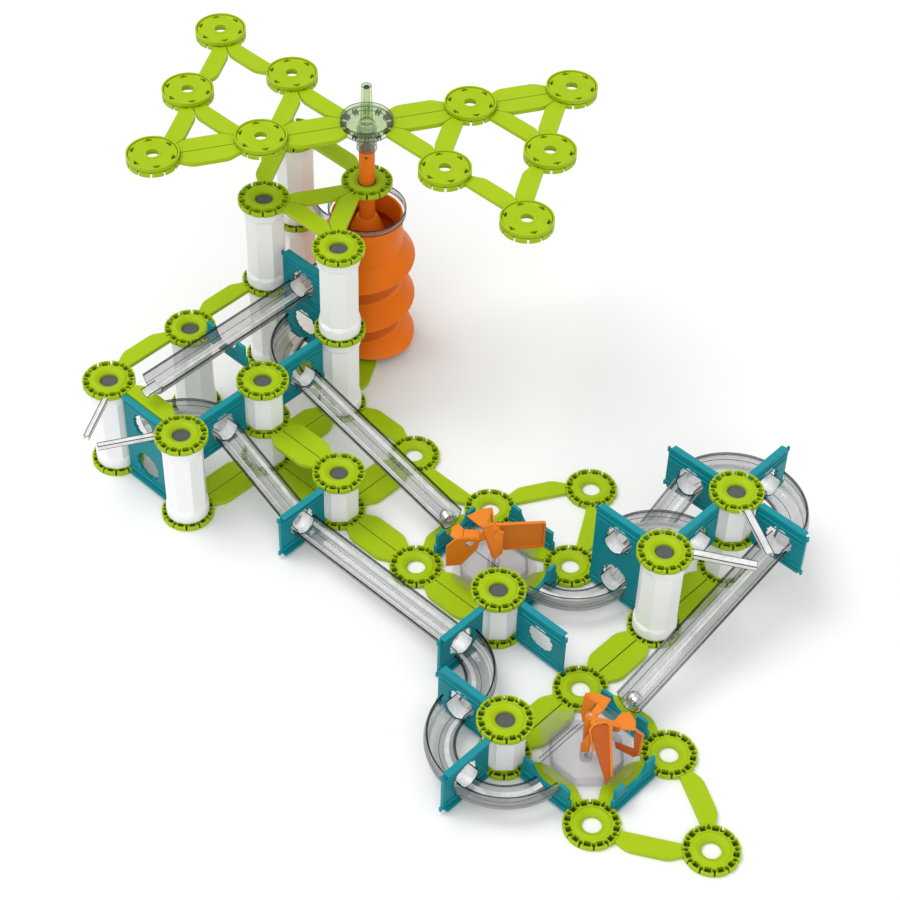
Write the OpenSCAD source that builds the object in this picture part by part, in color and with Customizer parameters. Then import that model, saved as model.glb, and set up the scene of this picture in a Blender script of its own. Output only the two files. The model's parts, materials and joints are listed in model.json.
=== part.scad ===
// Marble run: a clip-together frame of slotted discs, half-width link beams and
// white columns that carries clear ball channels, two turnstile wheels and a
// screw lift turned by a large openwork rotor.
// Origin: on the floor, on the axis of the lift screw. +Z is up.
// Sites are named by their place on the link lattice, in steps of link_pitch.

/* [Lattice] */
// Distance between the centres of two linked discs
link_pitch = 90; // [88:0.5:94]
// Height from one disc level to the next
level_h = 45; // [44:0.5:47]

/* [Discs] */
// Outer radius of every disc
disc_r = 22; // [21.5:0.25:22.5]
// Thickness of a disc at its rim
disc_t = 4.5; // [4:0.25:5]
// Radius of the hole in the middle of a disc
centre_hole_r = 7.7; // [7.5:0.1:8]
// Radius of a round clip socket
socket_r = 1.9; // [1.8:0.05:2]

/* [Beams] */
// Widest half-width of a link beam
beam_w = 16.5; // [15:0.25:17]
// Thickness of a link beam
beam_t = 4.2; // [3.5:0.1:4.4]

/* [Panels] */
// Thickness of a panel's web
web_t = 3; // [2.5:0.25:3.5]
// Radius of the toothed ball hole
hole_r = 13.4; // [13:0.1:14]

/* [Channels] */
// Outer radius of a half-round ball channel
channel_r = 12; // [11.5:0.25:12.25]
// Wall thickness of a ball channel
channel_wall = 1; // [0.8:0.1:1.2]
// Radius of a steel ball
ball_r = 6.35; // [6:0.05:6.5]

/* [Lift] */
// Radius of the screw shell between its threads
shell_r = 31; // [30:0.5:32]
// Radius of the screw shell at the crest of its thread
thread_r = 42; // [40:0.5:43]
// Height that one turn of the screw lifts a ball
lead = 45; // [44:0.5:48]
// Radius of the drive shaft
shaft_r = 6.8; // [6.5:0.1:7]

/* [Rotor] */
// Height of the rotor's top face above the floor
rotor_top = 250; // [246:1:254]
// Height of the top of the handle rod above the floor
handle_top = 283; // [276:1:290]

/* [Wheels] */
// Radius swept by a turnstile wheel's vanes
wheel_r = 40.5; // [36:0.5:41]
// Number of vanes on a wheel
vane_count = 4; // [3:1:5]

/* [Hidden] */

round_fn = 64;
small_fn = 24;
row_h = sqrt(3) / 2;
gap = 0.2;
eps = 0.01;

// Sites of the lattice. Towers t1 to t4, posts p1 to p9, bare floor discs a to i
t1 = [-4, 1];
t2 = [-3, 1];
t3 = [-3.5, 1 + row_h];
t4 = [-4.5, 1 + row_h];
p1 = [-2, 0];
p2 = [0, 0];
p3 = [1, -1];
p4 = [-3, 0];
p5 = [1, 1];
p6 = [1, 2];
p7 = [-3, -1];
p8 = [-4, -1];
p9 = [-4, 0];
a = [-2, 1];
b = [-1, 1];
c = [-0.5, 1 + row_h];
d = [0, 1];
e = [-1, 0];
f = [1, 0];
g = [2, 0];
h = [2, -1];
i = [2 + row_h, -0.5];

floor_sites = [t1, t2, t3, t4, p1, p2, p3, p4, p5, p6, p7, p8, p9, a, b, c, d, e, f, g, h, i];
low_posts = [p1, p2, p3];
split_posts = [p4, p6];
high_posts = [p5, p7, p8, p9];
towers = [t1, t2, t4];

// Steps of the rotor's own lattice, counted from the lift axis
step_a = [1, 0];
step_w = [0.5, row_h];
rotor_half = [step_w, 2 * step_w, step_a, step_a + step_w, 2 * step_a];
rotor_sites = concat(rotor_half, [for (s = rotor_half) -s]);

function place(s) = [(s.x - t3.x) * link_pitch, (s.y - t3.y) * link_pitch, 0];
function heading(p, q) = atan2(q.y - p.y, q.x - p.x);
function level_z(n) = n * level_h;
function channel_z(n) = level_z(n) + (disc_t + level_h) / 2;

// ---------------------------------------------------------------- discs

sector = 30;
socket_ring_r = 0.86 * disc_r;
pocket_in = 0.745 * disc_r;
pocket_out = 0.95 * disc_r;
crest_r = 0.6 * disc_r;
crest_foot_r = 14.3;
crest_h = 1.3;
slit_w = 1.6;
bowl_z = 0.8 * disc_t;

module pocket_shape() {
    half_in = 8.5;
    half_out = 7.6;
    polygon([
        [pocket_in * cos(half_in), -pocket_in * sin(half_in)],
        [pocket_out * cos(half_out), -pocket_out * sin(half_out)],
        [pocket_out * cos(half_out), pocket_out * sin(half_out)],
        [pocket_in * cos(half_in), pocket_in * sin(half_in)]]);
}

module keyhole_shape() {
    translate([socket_ring_r, 0]) circle(socket_r, $fn = small_fn);
    translate([socket_ring_r, -slit_w / 2]) square([disc_r, slit_w]);
}

// The slotted rim and the web under the raised ring
module socket_plate(hole) {
    linear_extrude(disc_t) difference() {
        circle(disc_r, $fn = round_fn);
        circle(hole, $fn = round_fn);
        for (k = [0 : 11]) {
            rotate(sector * k) pocket_shape();
            rotate(sector * (k + 0.5)) keyhole_shape();
        }
    }
}

// Raised ring whose inner face slopes down to the middle hole
module raised_ring(hole) {
    rotate_extrude($fn = round_fn) polygon([
        [hole, bowl_z], [crest_r, disc_t + crest_h], [crest_foot_r, disc_t],
        [crest_foot_r, disc_t / 2], [hole, disc_t / 2]]);
}

module bowl_cut(hole) {
    rotate_extrude($fn = round_fn) polygon([
        [0, bowl_z - 1], [hole, bowl_z], [crest_r, disc_t + crest_h],
        [0, disc_t + crest_h]]);
}

module socket_disc(hole = centre_hole_r) {
    difference() {
        union() {
            socket_plate(hole);
            raised_ring(hole);
        }
        difference() {
            bowl_cut(hole);
            translate([0, 0, -1]) cylinder(r = hole, h = disc_t * 2, $fn = round_fn);
        }
    }
}

module discs_at(sites, n) {
    for (s = sites) translate(place(s) + [0, 0, level_z(n)]) socket_disc();
}

module ground_discs() {
    color("yellowgreen") discs_at([for (s = floor_sites) if (s != t3) s], 0);
}

module middle_discs() {
    color("yellowgreen") {
        discs_at(split_posts, 1);
        discs_at(towers, 2);
    }
}

module top_discs() {
    color("yellowgreen") {
        discs_at(low_posts, 1);
        discs_at(concat(split_posts, high_posts), 2);
    }
}

module tower_discs() {
    color("yellowgreen") discs_at(concat(towers, [t3]), 4);
}

plug_h = 1.4;
plug_gap = 0.02;

module disc_plug() {
    translate([0, 0, gap]) cylinder(r = centre_hole_r - plug_gap, h = plug_h, $fn = round_fn);
}

module disc_plugs() {
    color("dimgray") {
        for (s = low_posts) translate(place(s) + [0, 0, level_z(1)]) disc_plug();
        for (s = concat(split_posts, high_posts)) translate(place(s) + [0, 0, level_z(2)]) disc_plug();
        for (s = towers) translate(place(s) + [0, 0, level_z(4)]) disc_plug();
    }
}

// -------------------------------------------------------------- columns

column_bore_r = 14.5;
short_r = 17.2;
tall_r = 18;
collar_h = 9;
waist_r = 17.4;

// Plain eight-sided tube
module short_column() {
    difference() {
        rotate(22.5) cylinder(r = short_r, h = level_h - disc_t, $fn = 8);
        translate([0, 0, -1]) cylinder(r = column_bore_r, h = level_h, $fn = round_fn);
    }
}

// Round collars at both ends of an eight-sided waist
module tall_column() {
    column_h = 2 * level_h - disc_t;
    difference() {
        union() {
            cylinder(r = tall_r, h = collar_h, $fn = round_fn);
            rotate(22.5) cylinder(r = waist_r, h = column_h, $fn = 8);
            translate([0, 0, column_h - collar_h]) cylinder(r = tall_r, h = collar_h, $fn = round_fn);
        }
        translate([0, 0, -1]) cylinder(r = column_bore_r, h = column_h + 2, $fn = round_fn);
    }
}

module short_columns() {
    color("white") {
        for (s = concat(low_posts, split_posts)) {
            translate(place(s) + [0, 0, disc_t]) short_column();
        }
        for (s = split_posts) translate(place(s) + [0, 0, level_z(1) + disc_t]) short_column();
    }
}

module tall_columns() {
    color("white") {
        for (s = high_posts) translate(place(s) + [0, 0, disc_t]) tall_column();
    }
}

module tower_columns() {
    color("white") {
        for (s = towers, n = [0, 2]) {
            translate(place(s) + [0, 0, level_z(n) + disc_t]) tall_column();
        }
    }
}

// ---------------------------------------------------------------- beams

seam = 0.15;
shoulder_x = 32;
shoulder_y = 15.6;
neck_w = 1.3;
bulb_r = 1.55;

// Plug that snaps into a clip socket of the disc at the origin
module beam_plug(side) {
    rotate(side * sector / 2) {
        translate([socket_ring_r, 0]) circle(bulb_r, $fn = small_fn);
        translate([socket_ring_r, -neck_w / 2]) square([disc_r - socket_ring_r + 2, neck_w]);
    }
}

module half_beam_outline() {
    start_x = 15;
    start_y = 8.3;
    elbow_x = 28;
    len = link_pitch;
    difference() {
        polygon([
            [start_x, seam], [start_x, start_y], [elbow_x, shoulder_y], [shoulder_x, beam_w],
            [len - shoulder_x, beam_w], [len - elbow_x, shoulder_y],
            [len - start_x, start_y], [len - start_x, seam]]);
        circle(disc_r + gap, $fn = round_fn);
        translate([len, 0]) circle(disc_r + gap, $fn = round_fn);
    }
    beam_plug(1);
    translate([len, 0]) mirror([1, 0]) beam_plug(1);
}

// One link from p to q, on the left of the way from p to q
module left_link(p, q, z) {
    translate(place(p) + [0, 0, z]) rotate(heading(p, q)) linear_extrude(beam_t) half_beam_outline();
}

module right_link(p, q, z) {
    left_link(q, p, z);
}

module double_link(p, q, z) {
    left_link(p, q, z);
    right_link(p, q, z);
}

module ground_beams() {
    color("yellowgreen") {
        for (l = [[p7, p4], [p4, t2], [p4, p1], [p1, a], [p1, e], [e, p2], [p3, f], [f, p5], [p5, p6]]) {
            double_link(l[0], l[1], 0);
        }
        for (l = [[t1, t2], [t2, a], [b, a], [b, c], [c, d], [d, b], [p2, d], [e, b], [t3, t2],
            [t1, t4], [t4, t3], [t3, t1], [f, g], [g, i], [i, h], [h, g], [p3, h]]) {
            left_link(l[0], l[1], 0);
        }
    }
}

module middle_beams() {
    color("yellowgreen") double_link(p4, p1, level_z(1));
}

module upper_beams() {
    color("yellowgreen") {
        for (l = [[p8, p9], [p9, t1], [p8, p7]]) left_link(l[0], l[1], level_z(2));
    }
}

module tower_beams() {
    color("yellowgreen") {
        for (l = [[t1, t2], [t2, t3], [t3, t1], [t1, t4], [t4, t3]]) {
            left_link(l[0], l[1], level_z(4));
        }
    }
}

// --------------------------------------------------------------- panels

tooth_count = 12;
tooth_r = 1.2;
flange_t = 3;
rib_h = 1.5;
rib_drop = 7;
rib_t = 1.2;
end_r = 18.5;
tab_len = 2;

module toothed_hole() {
    difference() {
        circle(hole_r, $fn = round_fn);
        for (k = [0 : tooth_count - 1]) {
            rotate(360 / tooth_count * k) translate([hole_r, 0]) circle(tooth_r, $fn = small_fn);
        }
    }
}

// Web outline in the plane of the panel: x along the link, y up from the lower disc's floor
module web_outline(levels) {
    height = levels * level_h;
    clear_bottom = disc_t + gap;
    clear_top = height - gap;
    mid_z = disc_t / 2 + gap;
    flange_x = disc_r + 2 * gap;
    difference() {
        union() {
            translate([flange_x - tab_len, clear_bottom]) {
                square([link_pitch - 2 * (flange_x - tab_len), clear_top - clear_bottom]);
            }
            translate([flange_x, mid_z]) square([link_pitch - 2 * flange_x, height]);
        }
        for (n = [0 : levels - 1]) translate([link_pitch / 2, channel_z(n)]) toothed_hole();
    }
}

// Tabs that reach into the rim pockets of the discs above and below
module pocket_tabs(height) {
    tab_in = pocket_in + 2.2;
    tab_w = pocket_out - pocket_in - 2.7;
    tab_z = 1.8;
    for (x = [tab_in, link_pitch - tab_in - tab_w]) {
        translate([x, seam, disc_t - tab_z]) cube([tab_w, 1.8, tab_z + 4]);
        translate([x, seam, height - 4]) cube([tab_w, 1.8, tab_z + 4]);
    }
}

module panel_ribs(height) {
    flange_x = disc_r + 2 * gap;
    len = link_pitch - 2 * flange_x;
    for (z = [disc_t / 2 + gap, height + disc_t / 2 + gap - rib_h]) {
        translate([flange_x, seam, z]) cube([len, web_t + flange_t, rib_h]);
    }
    for (z = [disc_t / 2 + rib_drop, height - rib_drop + disc_t / 2]) {
        translate([flange_x, seam, z]) cube([len, web_t + rib_t, rib_h]);
    }
}

// Panel from p to q, its web on the left of the way from p to q
module panel(p, q, n, levels = 1) {
    height = levels * level_h;
    translate(place(p) + [0, 0, level_z(n)]) rotate(heading(p, q)) {
        translate([0, seam + web_t, 0]) rotate([90, 0, 0]) linear_extrude(web_t) web_outline(levels);
        panel_ribs(height);
        pocket_tabs(height);
    }
}

// Low panel whose top edge cradles a channel
module saddle(p, q, n) {
    flange_x = disc_r + 2 * gap;
    len = link_pitch - 2 * flange_x;
    top = channel_z(0) - disc_t / 2 - gap;
    mid_z = disc_t / 2 + gap;
    translate(place(p) + [0, 0, level_z(n)]) rotate(heading(p, q)) {
        translate([0, seam + web_t, 0]) rotate([90, 0, 0]) linear_extrude(web_t) difference() {
            union() {
                translate([flange_x, mid_z]) square([len, top]);
                translate([flange_x - tab_len, disc_t + gap]) square([len + 2 * tab_len, top / 2]);
            }
            translate([link_pitch / 2, channel_z(0)]) toothed_hole();
        }
        translate([flange_x, seam, mid_z]) cube([len, web_t + flange_t, rib_h]);
        translate([flange_x, seam, disc_t / 2 + rib_drop]) difference() {
            cube([len, web_t + rib_t, rib_h]);
            translate([len / 2 - hole_r / 2, web_t, -1]) cube([hole_r, rib_t + 1, rib_h + 2]);
        }
    }
}

module short_panels() {
    color("darkcyan") {
        panel(p1, p1 - [0, 1], 0);
        panel(p2, p2 - [0, 1], 0);
        panel(p3 - [1, 0], p3, 0);
        panel(p3, p3 - [0, 1], 0);
        panel(p2, f, 0);
    }
}

module raised_panels() {
    color("darkcyan") {
        panel(p4, t2, 1);
        panel(p7, p4, 1);
        panel(t1, t2, 1);
        panel(t1, t2, 2);
        panel(p6 - [1, 0], p6, 1);
        panel(p6, p6 + [0, 1], 1);
        panel(p6, p6 + [1, 0], 1);
        panel(p5, p6, 1);
    }
}

module tall_panels() {
    color("darkcyan") {
        panel(p7, p8, 0, 2);
        panel(d, p5, 0, 2);
    }
}

module saddle_panels() {
    color("darkcyan") {
        saddle(b, e, 0);
        saddle(b, d, 0);
        saddle(d, p2, 0);
        saddle(g, f, 0);
        saddle(g, h, 0);
        saddle(h, p3, 0);
        saddle(p9, p4, 2);
    }
}

// ------------------------------------------------------------- channels

end_gap = web_t + seam + gap;
nose_len = 7;
nose_wall = 0.9;
nose_r = channel_r - channel_wall - gap;

module half_ring(outer, wall) {
    difference() {
        circle(outer, $fn = round_fn);
        circle(outer - wall, $fn = round_fn);
        translate([-2 * outer, 0]) square([4 * outer, 2 * outer]);
    }
}

// Straight half-round channel from p to q, falling from level n0 to level n1
module straight_channel(p, q, n0, n1, trim0 = end_gap, trim1 = end_gap) {
    run = norm(q - p) * link_pitch;
    drop = channel_z(n0) - channel_z(n1);
    slope = atan2(drop, run);
    reach = norm([run, drop]);
    translate(place(p) + [0, 0, channel_z(n0)]) rotate(heading(p, q)) {
        intersection() {
            rotate([0, slope, 0]) translate([-channel_r, 0, 0]) rotate([90, 0, 90]) {
                linear_extrude(reach + 2 * channel_r) half_ring(channel_r, channel_wall);
            }
            translate([trim0, -2 * channel_r, -drop - 2 * channel_r]) {
                cube([run - trim0 - trim1, 4 * channel_r, drop + 4 * channel_r]);
            }
        }
    }
}

// Short spout that carries the ball through a panel's hole into the next channel
module nose(p, q, n) {
    run = norm(q - p) * link_pitch;
    translate(place(p) + [0, 0, channel_z(n)]) rotate(heading(p, q)) {
        translate([run - end_gap - 3, 0, 0]) rotate([90, 0, 90]) {
            linear_extrude(nose_len + end_gap) half_ring(nose_r, nose_wall);
            linear_extrude(3) half_ring(channel_r - channel_wall / 2, channel_wall);
        }
    }
}

bend_r = 13.4;
bend_bank = 35;
bend_out = 2.8;
bend_drop = 1.6;

// Banked quarter-turn channel round the site s, starting at the angle start
module quarter_channel(s, n, start) {
    inner_r = link_pitch / 2 + bend_out - bend_r;
    trim = asin((end_gap + gap / 2) / inner_r);
    translate(place(s) + [0, 0, channel_z(n) - bend_drop]) rotate(start + trim) {
        rotate_extrude(angle = 90 - 2 * trim, $fn = 2 * round_fn) {
            translate([link_pitch / 2 + bend_out, 0]) rotate(bend_bank) half_ring(bend_r, channel_wall);
        }
    }
}

module tower_channel() {
    color("gainsboro") {
        straight_channel([-3.5, 1], [-3.5, -0.88], 2, 2, end_gap, 0);
    }
}

module wheel_1_channel() {
    color("gainsboro") straight_channel([-3, 0.5], [-1, 0.5], 1, 0);
}

module wheel_2_channel() {
    color("gainsboro") straight_channel([1.5, 2], [1.5, 0], 1, 0);
}

module front_channel() {
    color("gainsboro") {
        straight_channel([-2, -0.5], [0, -0.5], 0, 0);
        nose([-2, -0.5], [0, -0.5], 0);
    }
}

module drop_channel() {
    color("gainsboro") straight_channel([-3, -0.5], [-2, -0.5], 1, 0);
}

module rear_channel() {
    color("gainsboro") {
        straight_channel([0.5, 2], [0.5, 1], 1, 0);
        nose([0.5, 1], [0.5, 2], 1);
    }
}

module curved_channels() {
    color("gainsboro") {
        quarter_channel([-3, 1], 1, 180);
        quarter_channel(p7, 1, 90);
        quarter_channel([0, -1], 0, 0);
        quarter_channel(p3, 0, 180);
        quarter_channel(p3, 0, 270);
        quarter_channel(d, 0, 270);
        quarter_channel(p5, 1, 90);
        quarter_channel(p6, 1, 90);
        quarter_channel(p6, 1, 0);
    }
}

// ----------------------------------------------------------- guide bars

bar_w = 4.5;
bar_h = 5.5;
bar_off = 2.6;

module guide_bar(p, angle, side) {
    bar_x = disc_r + gap;
    translate(place(p) + [0, 0, level_z(2)]) rotate(angle) mirror([0, side < 0 ? 1 : 0, 0]) {
        difference() {
            translate([bar_x - 3, bar_off, -1]) cube([link_pitch - 2 * bar_x + 3, bar_w, bar_h]);
            translate([0, 0, -2]) cylinder(r = disc_r + gap, h = 2 * bar_h, $fn = round_fn);
        }
        linear_extrude(bar_h - 1.5) beam_plug(1);
    }
}

module guide_bars() {
    color("gainsboro") {
        guide_bar(p6, -30, -1);
        guide_bar(p5, 30, 1);
        guide_bar(p8, -60, 1);
        guide_bar(p7, -120, -1);
    }
}

// ---------------------------------------------------------------- rotor

cap_t = 4;
cap_step = 0.5;
cap_field = 1;
rotor_z = rotor_top - cap_t - cap_step - disc_t;
cap_hole_r = 5.2;

module rotor_cap(hole) {
    bead = 1.6;
    slot_ring_r = 0.84 * disc_r;
    slot_l = 4.4;
    slot_w = 1.8;
    difference() {
        union() {
            translate([0, 0, cap_step]) cylinder(r = disc_r, h = cap_t, $fn = round_fn);
            cylinder(r = disc_r - bead, h = cap_t, $fn = round_fn);
        }
        translate([0, 0, cap_t + cap_step - cap_field]) {
            cylinder(r = disc_r - bead, h = cap_t, $fn = round_fn);
        }
        translate([0, 0, -1]) cylinder(r = hole, h = 3 * cap_t, $fn = round_fn);
        for (k = [0 : 5]) {
            rotate(60 * k + 30) translate([slot_ring_r - slot_w / 2, -slot_l / 2, -1]) {
                cube([slot_w, slot_l, 3 * cap_t]);
            }
        }
    }
}

module rotor_caps() {
    color("yellowgreen") {
        for (s = rotor_sites) translate([s.x, s.y, 0] * link_pitch + [0, 0, rotor_z + disc_t]) {
            rotor_cap(cap_hole_r);
        }
    }
}

module rotor_disc() {
    translate([0, 0, disc_t]) mirror([0, 0, 1]) socket_disc();
}

module rotor_discs() {
    color("yellowgreen") {
        for (s = rotor_sites) translate([s.x, s.y, 0] * link_pitch + [0, 0, rotor_z]) rotor_disc();
    }
}

module rotor_beams() {
    z = rotor_z + (disc_t - beam_t) / 2;
    color("yellowgreen") {
        for (turn = [1, -1]) {
            for (l = [[0, 1], [1, 2]]) double_link(t3 + turn * l[0] * step_w, t3 + turn * l[1] * step_w, z);
            for (l = [[[0, 0], step_a], [step_a, step_w], [step_w, step_a + step_w],
                [step_a + step_w, 2 * step_w], [step_a, 2 * step_a],
                [2 * step_a, step_a + step_w]]) {
                right_link(t3 + turn * l[1], t3 + turn * l[0], z);
            }
        }
    }
}

module hub_cap() {
    color("gainsboro") translate([0, 0, rotor_z + disc_t]) rotor_cap(cap_hole_r);
}

module hub_disc() {
    color("gainsboro") translate([0, 0, rotor_z]) rotor_disc();
}

collar_r = 8.6;

module hub_collar() {
    collar_len = 11;
    color("gainsboro") translate([0, 0, rotor_z - collar_len - crest_h - gap]) difference() {
        cylinder(r = collar_r, h = collar_len, $fn = round_fn);
        translate([0, 0, -1]) cylinder(r = shaft_r + gap / 2, h = collar_len + 2, $fn = round_fn);
    }
}

module handle_rod() {
    base_z = rotor_top - cap_t;
    color("gainsboro") {
        translate([0, 0, base_z]) cylinder(r = cap_hole_r - plug_gap, h = cap_t, $fn = round_fn);
        translate([0, 0, rotor_top]) {
            cylinder(r1 = cap_hole_r - plug_gap, r2 = 4.4, h = handle_top - rotor_top, $fn = round_fn);
        }
    }
}

// ----------------------------------------------------------------- lift

screw_base = 8.5;
screw_top = 148;
shell_wall = 1.8;
thread_phase = 44.6;
thread_z = 63;
flare = 0.45;
crest_flat = 0.12;
under = 0.08;
shell_steps = 36;
row_step = 3.75;

// Share of the thread's height at the fraction u of a turn below its upper edge
function thread_share(u) =
    u < flare ? sin(90 * u / flare)
    : u < flare + crest_flat ? 1
    : u < flare + crest_flat + under ? 1 - (u - flare - crest_flat) / under
    : 0;
function turns(z, angle) = (thread_z + lead * ((angle - thread_phase) / 360 + flare) - z) / lead;
function shell_radius(z, angle) =
    shell_r + (thread_r - shell_r) * thread_share(turns(z, angle) - floor(turns(z, angle)));

// Hollow shell with one helical bulge; the bulge is the ball's track on the inside
module helical_shell(height) {
    rows = round(height / row_step);
    n = shell_steps;
    function ring(j, inset) = [for (k = [0 : n - 1])
        let (angle = 360 * k / n, z = height * j / rows, r = shell_radius(z + screw_base, angle) - inset)
        [r * cos(angle), r * sin(angle), z]];
    outer = [for (j = [0 : rows]) each ring(j, 0)];
    inner = [for (j = [0 : rows]) each ring(j, shell_wall)];
    m = n * (rows + 1);
    function at(j, k) = j * n + k % n;
    faces = concat(
        [for (j = [0 : rows - 1], k = [0 : n - 1]) [at(j, k), at(j + 1, k), at(j + 1, k + 1)]],
        [for (j = [0 : rows - 1], k = [0 : n - 1]) [at(j, k), at(j + 1, k + 1), at(j, k + 1)]],
        [for (j = [0 : rows - 1], k = [0 : n - 1]) [m + at(j, k), m + at(j + 1, k + 1), m + at(j + 1, k)]],
        [for (j = [0 : rows - 1], k = [0 : n - 1]) [m + at(j, k), m + at(j, k + 1), m + at(j + 1, k + 1)]],
        [for (k = [0 : n - 1]) [at(0, k), at(0, k + 1), m + at(0, k + 1)]],
        [for (k = [0 : n - 1]) [at(0, k), m + at(0, k + 1), m + at(0, k)]],
        [for (k = [0 : n - 1]) [at(rows, k), m + at(rows, k), m + at(rows, k + 1)]],
        [for (k = [0 : n - 1]) [at(rows, k), m + at(rows, k + 1), at(rows, k + 1)]]);
    polyhedron(concat(outer, inner), faces, convexity = 8);
}

module screw_shell() {
    color("darkorange") translate([0, 0, screw_base]) helical_shell(screw_top - screw_base);
}

core_r = 15;
core_top = 132;
cone_top = 146;
spoke_w = 3;
spoke_h = 6;

// Inner drum with a cone on top, and the arms that carry the shell
module screw_core() {
    spoke_len = shell_r - shell_wall - gap - core_r + spoke_w;
    bore_r = shaft_r + plug_gap;
    color("darkorange") {
        rotate_extrude($fn = round_fn) polygon([
            [bore_r, screw_base], [core_r, screw_base], [core_r, core_top],
            [shaft_r + 2, cone_top], [bore_r, cone_top]]);
        for (z = [screw_base + 2, core_top - spoke_h - 2], k = [0 : 2]) {
            rotate(120 * k + 20) translate([core_r - spoke_w, -spoke_w / 2, z]) {
                cube([spoke_len, spoke_w, spoke_h]);
            }
        }
    }
}

module drive_shaft() {
    foot_z = disc_t + crest_h + gap;
    pivot_r = 3;
    pivot_h = 12;
    color("darkorange") difference() {
        translate([0, 0, foot_z]) cylinder(r = shaft_r, h = rotor_z - gap - foot_z, $fn = round_fn);
        translate([0, 0, foot_z - 1]) cylinder(r = pivot_r + 0.05, h = pivot_h + 1, $fn = round_fn);
    }
}

// Floor disc under the lift, with the pin that the shaft turns on
module foot_bearing() {
    pin_r = 3;
    pin_h = disc_t + 12;
    color("yellowgreen") {
        translate(place(t3)) socket_disc();
        cylinder(r = centre_hole_r + 1, h = disc_t / 2, $fn = round_fn);
        cylinder(r = pin_r, h = pin_h, $fn = round_fn);
    }
}

module shaft_bush() {
    color("dimgray") translate([0, 0, level_z(4)]) difference() {
        cylinder(r = centre_hole_r - plug_gap, h = bowl_z, $fn = round_fn);
        translate([0, 0, -1]) cylinder(r = shaft_r + 0.06, h = disc_t + 2, $fn = round_fn);
    }
}

hopper_r = 33;
hopper_wall = 1.2;
hopper_z = 132;
hopper_top = 154;

// Clear sleeve round the mouth of the screw
module hopper_ring() {
    color("gainsboro") {
        difference() {
            union() {
                translate([0, 0, screw_top + 1]) {
                    cylinder(r = hopper_r, h = hopper_top - screw_top - 1, $fn = 2 * round_fn);
                }
            }
            translate([0, 0, screw_top]) {
                cylinder(r = hopper_r - hopper_wall, h = hopper_top, $fn = 2 * round_fn);
            }
        }
    }
}

// Clear tray that leads a lifted ball to the upper hole of the tower panel
module hopper_tray() {
    color("gainsboro") {
        straight_channel([-3.5, 1 + row_h - 0.56], [-3.5, 1], 2, 2, 0, end_gap);
    }
}

// --------------------------------------------------------------- wheels

wheel_1_site = [-0.5, 0.5];
wheel_2_site = [1.5, -0.5];
wheel_1_turn = 62;
wheel_2_turn = -31;
deck_top = channel_z(0) - channel_r + 0.3;
vane_low = deck_top + 1;
vane_high = 54;
vane_t = 1.6;
vane_curve = 25;
hub_r = 5;
pin_r = 1.5;
pin_foot = 2;

// A vane seen from above: a curved wall from the hub to the rim of the wheel
module vane_wall(outer, inner) {
    difference() {
        translate([wheel_r / 2, -vane_curve * 0.55]) difference() {
            circle(outer, $fn = round_fn);
            circle(inner, $fn = round_fn);
        }
        translate([-wheel_r, -2 * wheel_r]) square([3 * wheel_r, 2 * wheel_r]);
    }
}

// Cupped vane with a roof over its hollow side
module vane() {
    roof_r = 0.68 * wheel_r;
    translate([0, 0, vane_low]) linear_extrude(vane_high - vane_low) {
        vane_wall(vane_curve, vane_curve - vane_t);
    }
    translate([0, 0, vane_high - vane_t]) linear_extrude(vane_t) intersection() {
        vane_wall(vane_curve - vane_t / 2, eps);
        circle(roof_r, $fn = round_fn);
    }
}

// Wheel whose vanes sweep the ball across the deck
module vane_wheel() {
    difference() {
        union() {
            translate([0, 0, deck_top + gap]) cylinder(r = hub_r, h = vane_high - deck_top - gap, $fn = round_fn);
            intersection() {
                for (k = [0 : vane_count - 1]) rotate(360 / vane_count * k) vane();
                cylinder(r = wheel_r, h = 2 * vane_high, $fn = 2 * round_fn);
            }
        }
        cylinder(r = pin_r + 0.05, h = vane_high + 1, $fn = round_fn);
    }
}

// Clear deck under the wheel, level with the channels, on an eight-sided skirt
module wheel_base() {
    deck_half = 40.5;
    deck_cut = 34.5;
    deck_t = 1.4;
    skirt_r = 30;
    skirt_wall = 1.2;
    post_r = 5;
    difference() {
        union() {
            translate([0, 0, deck_top - deck_t]) intersection() {
                translate([-deck_half, -deck_half, 0]) cube([2 * deck_half, 2 * deck_half, deck_t]);
                rotate(45) translate([-deck_cut, -deck_cut, 0]) cube([2 * deck_cut, 2 * deck_cut, deck_t]);
            }
            difference() {
                rotate(22.5) cylinder(r = skirt_r, h = deck_top - deck_t / 2, $fn = 8);
                translate([0, 0, -1]) rotate(22.5) {
                    cylinder(r = skirt_r - skirt_wall, h = deck_top - deck_t / 2 + 1, $fn = 8);
                }
            }
            cylinder(r = post_r, h = deck_top - deck_t / 2, $fn = round_fn);
        }
        translate([0, 0, pin_foot]) cylinder(r = pin_r + plug_gap, h = deck_top, $fn = round_fn);
    }
}

module wheel_pin() {
    translate([0, 0, pin_foot]) cylinder(r = pin_r, h = vane_high - pin_foot - 1, $fn = round_fn);
}

module wheel_1_vanes() {
    color("darkorange") translate(place(wheel_1_site)) rotate(wheel_1_turn) vane_wheel();
}

module wheel_1_pin() {
    color("silver") translate(place(wheel_1_site)) wheel_pin();
}

module wheel_1_base() {
    color("gainsboro") translate(place(wheel_1_site)) wheel_base();
}

module wheel_2_vanes() {
    color("darkorange") translate(place(wheel_2_site)) rotate(wheel_2_turn) vane_wheel();
}

module wheel_2_pin() {
    color("silver") translate(place(wheel_2_site)) wheel_pin();
}

module wheel_2_base() {
    color("gainsboro") translate(place(wheel_2_site)) wheel_base();
}

// -------------------------------------------------------------- marbles

ball_drop = channel_r - channel_wall - ball_r - 0.05;

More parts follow.
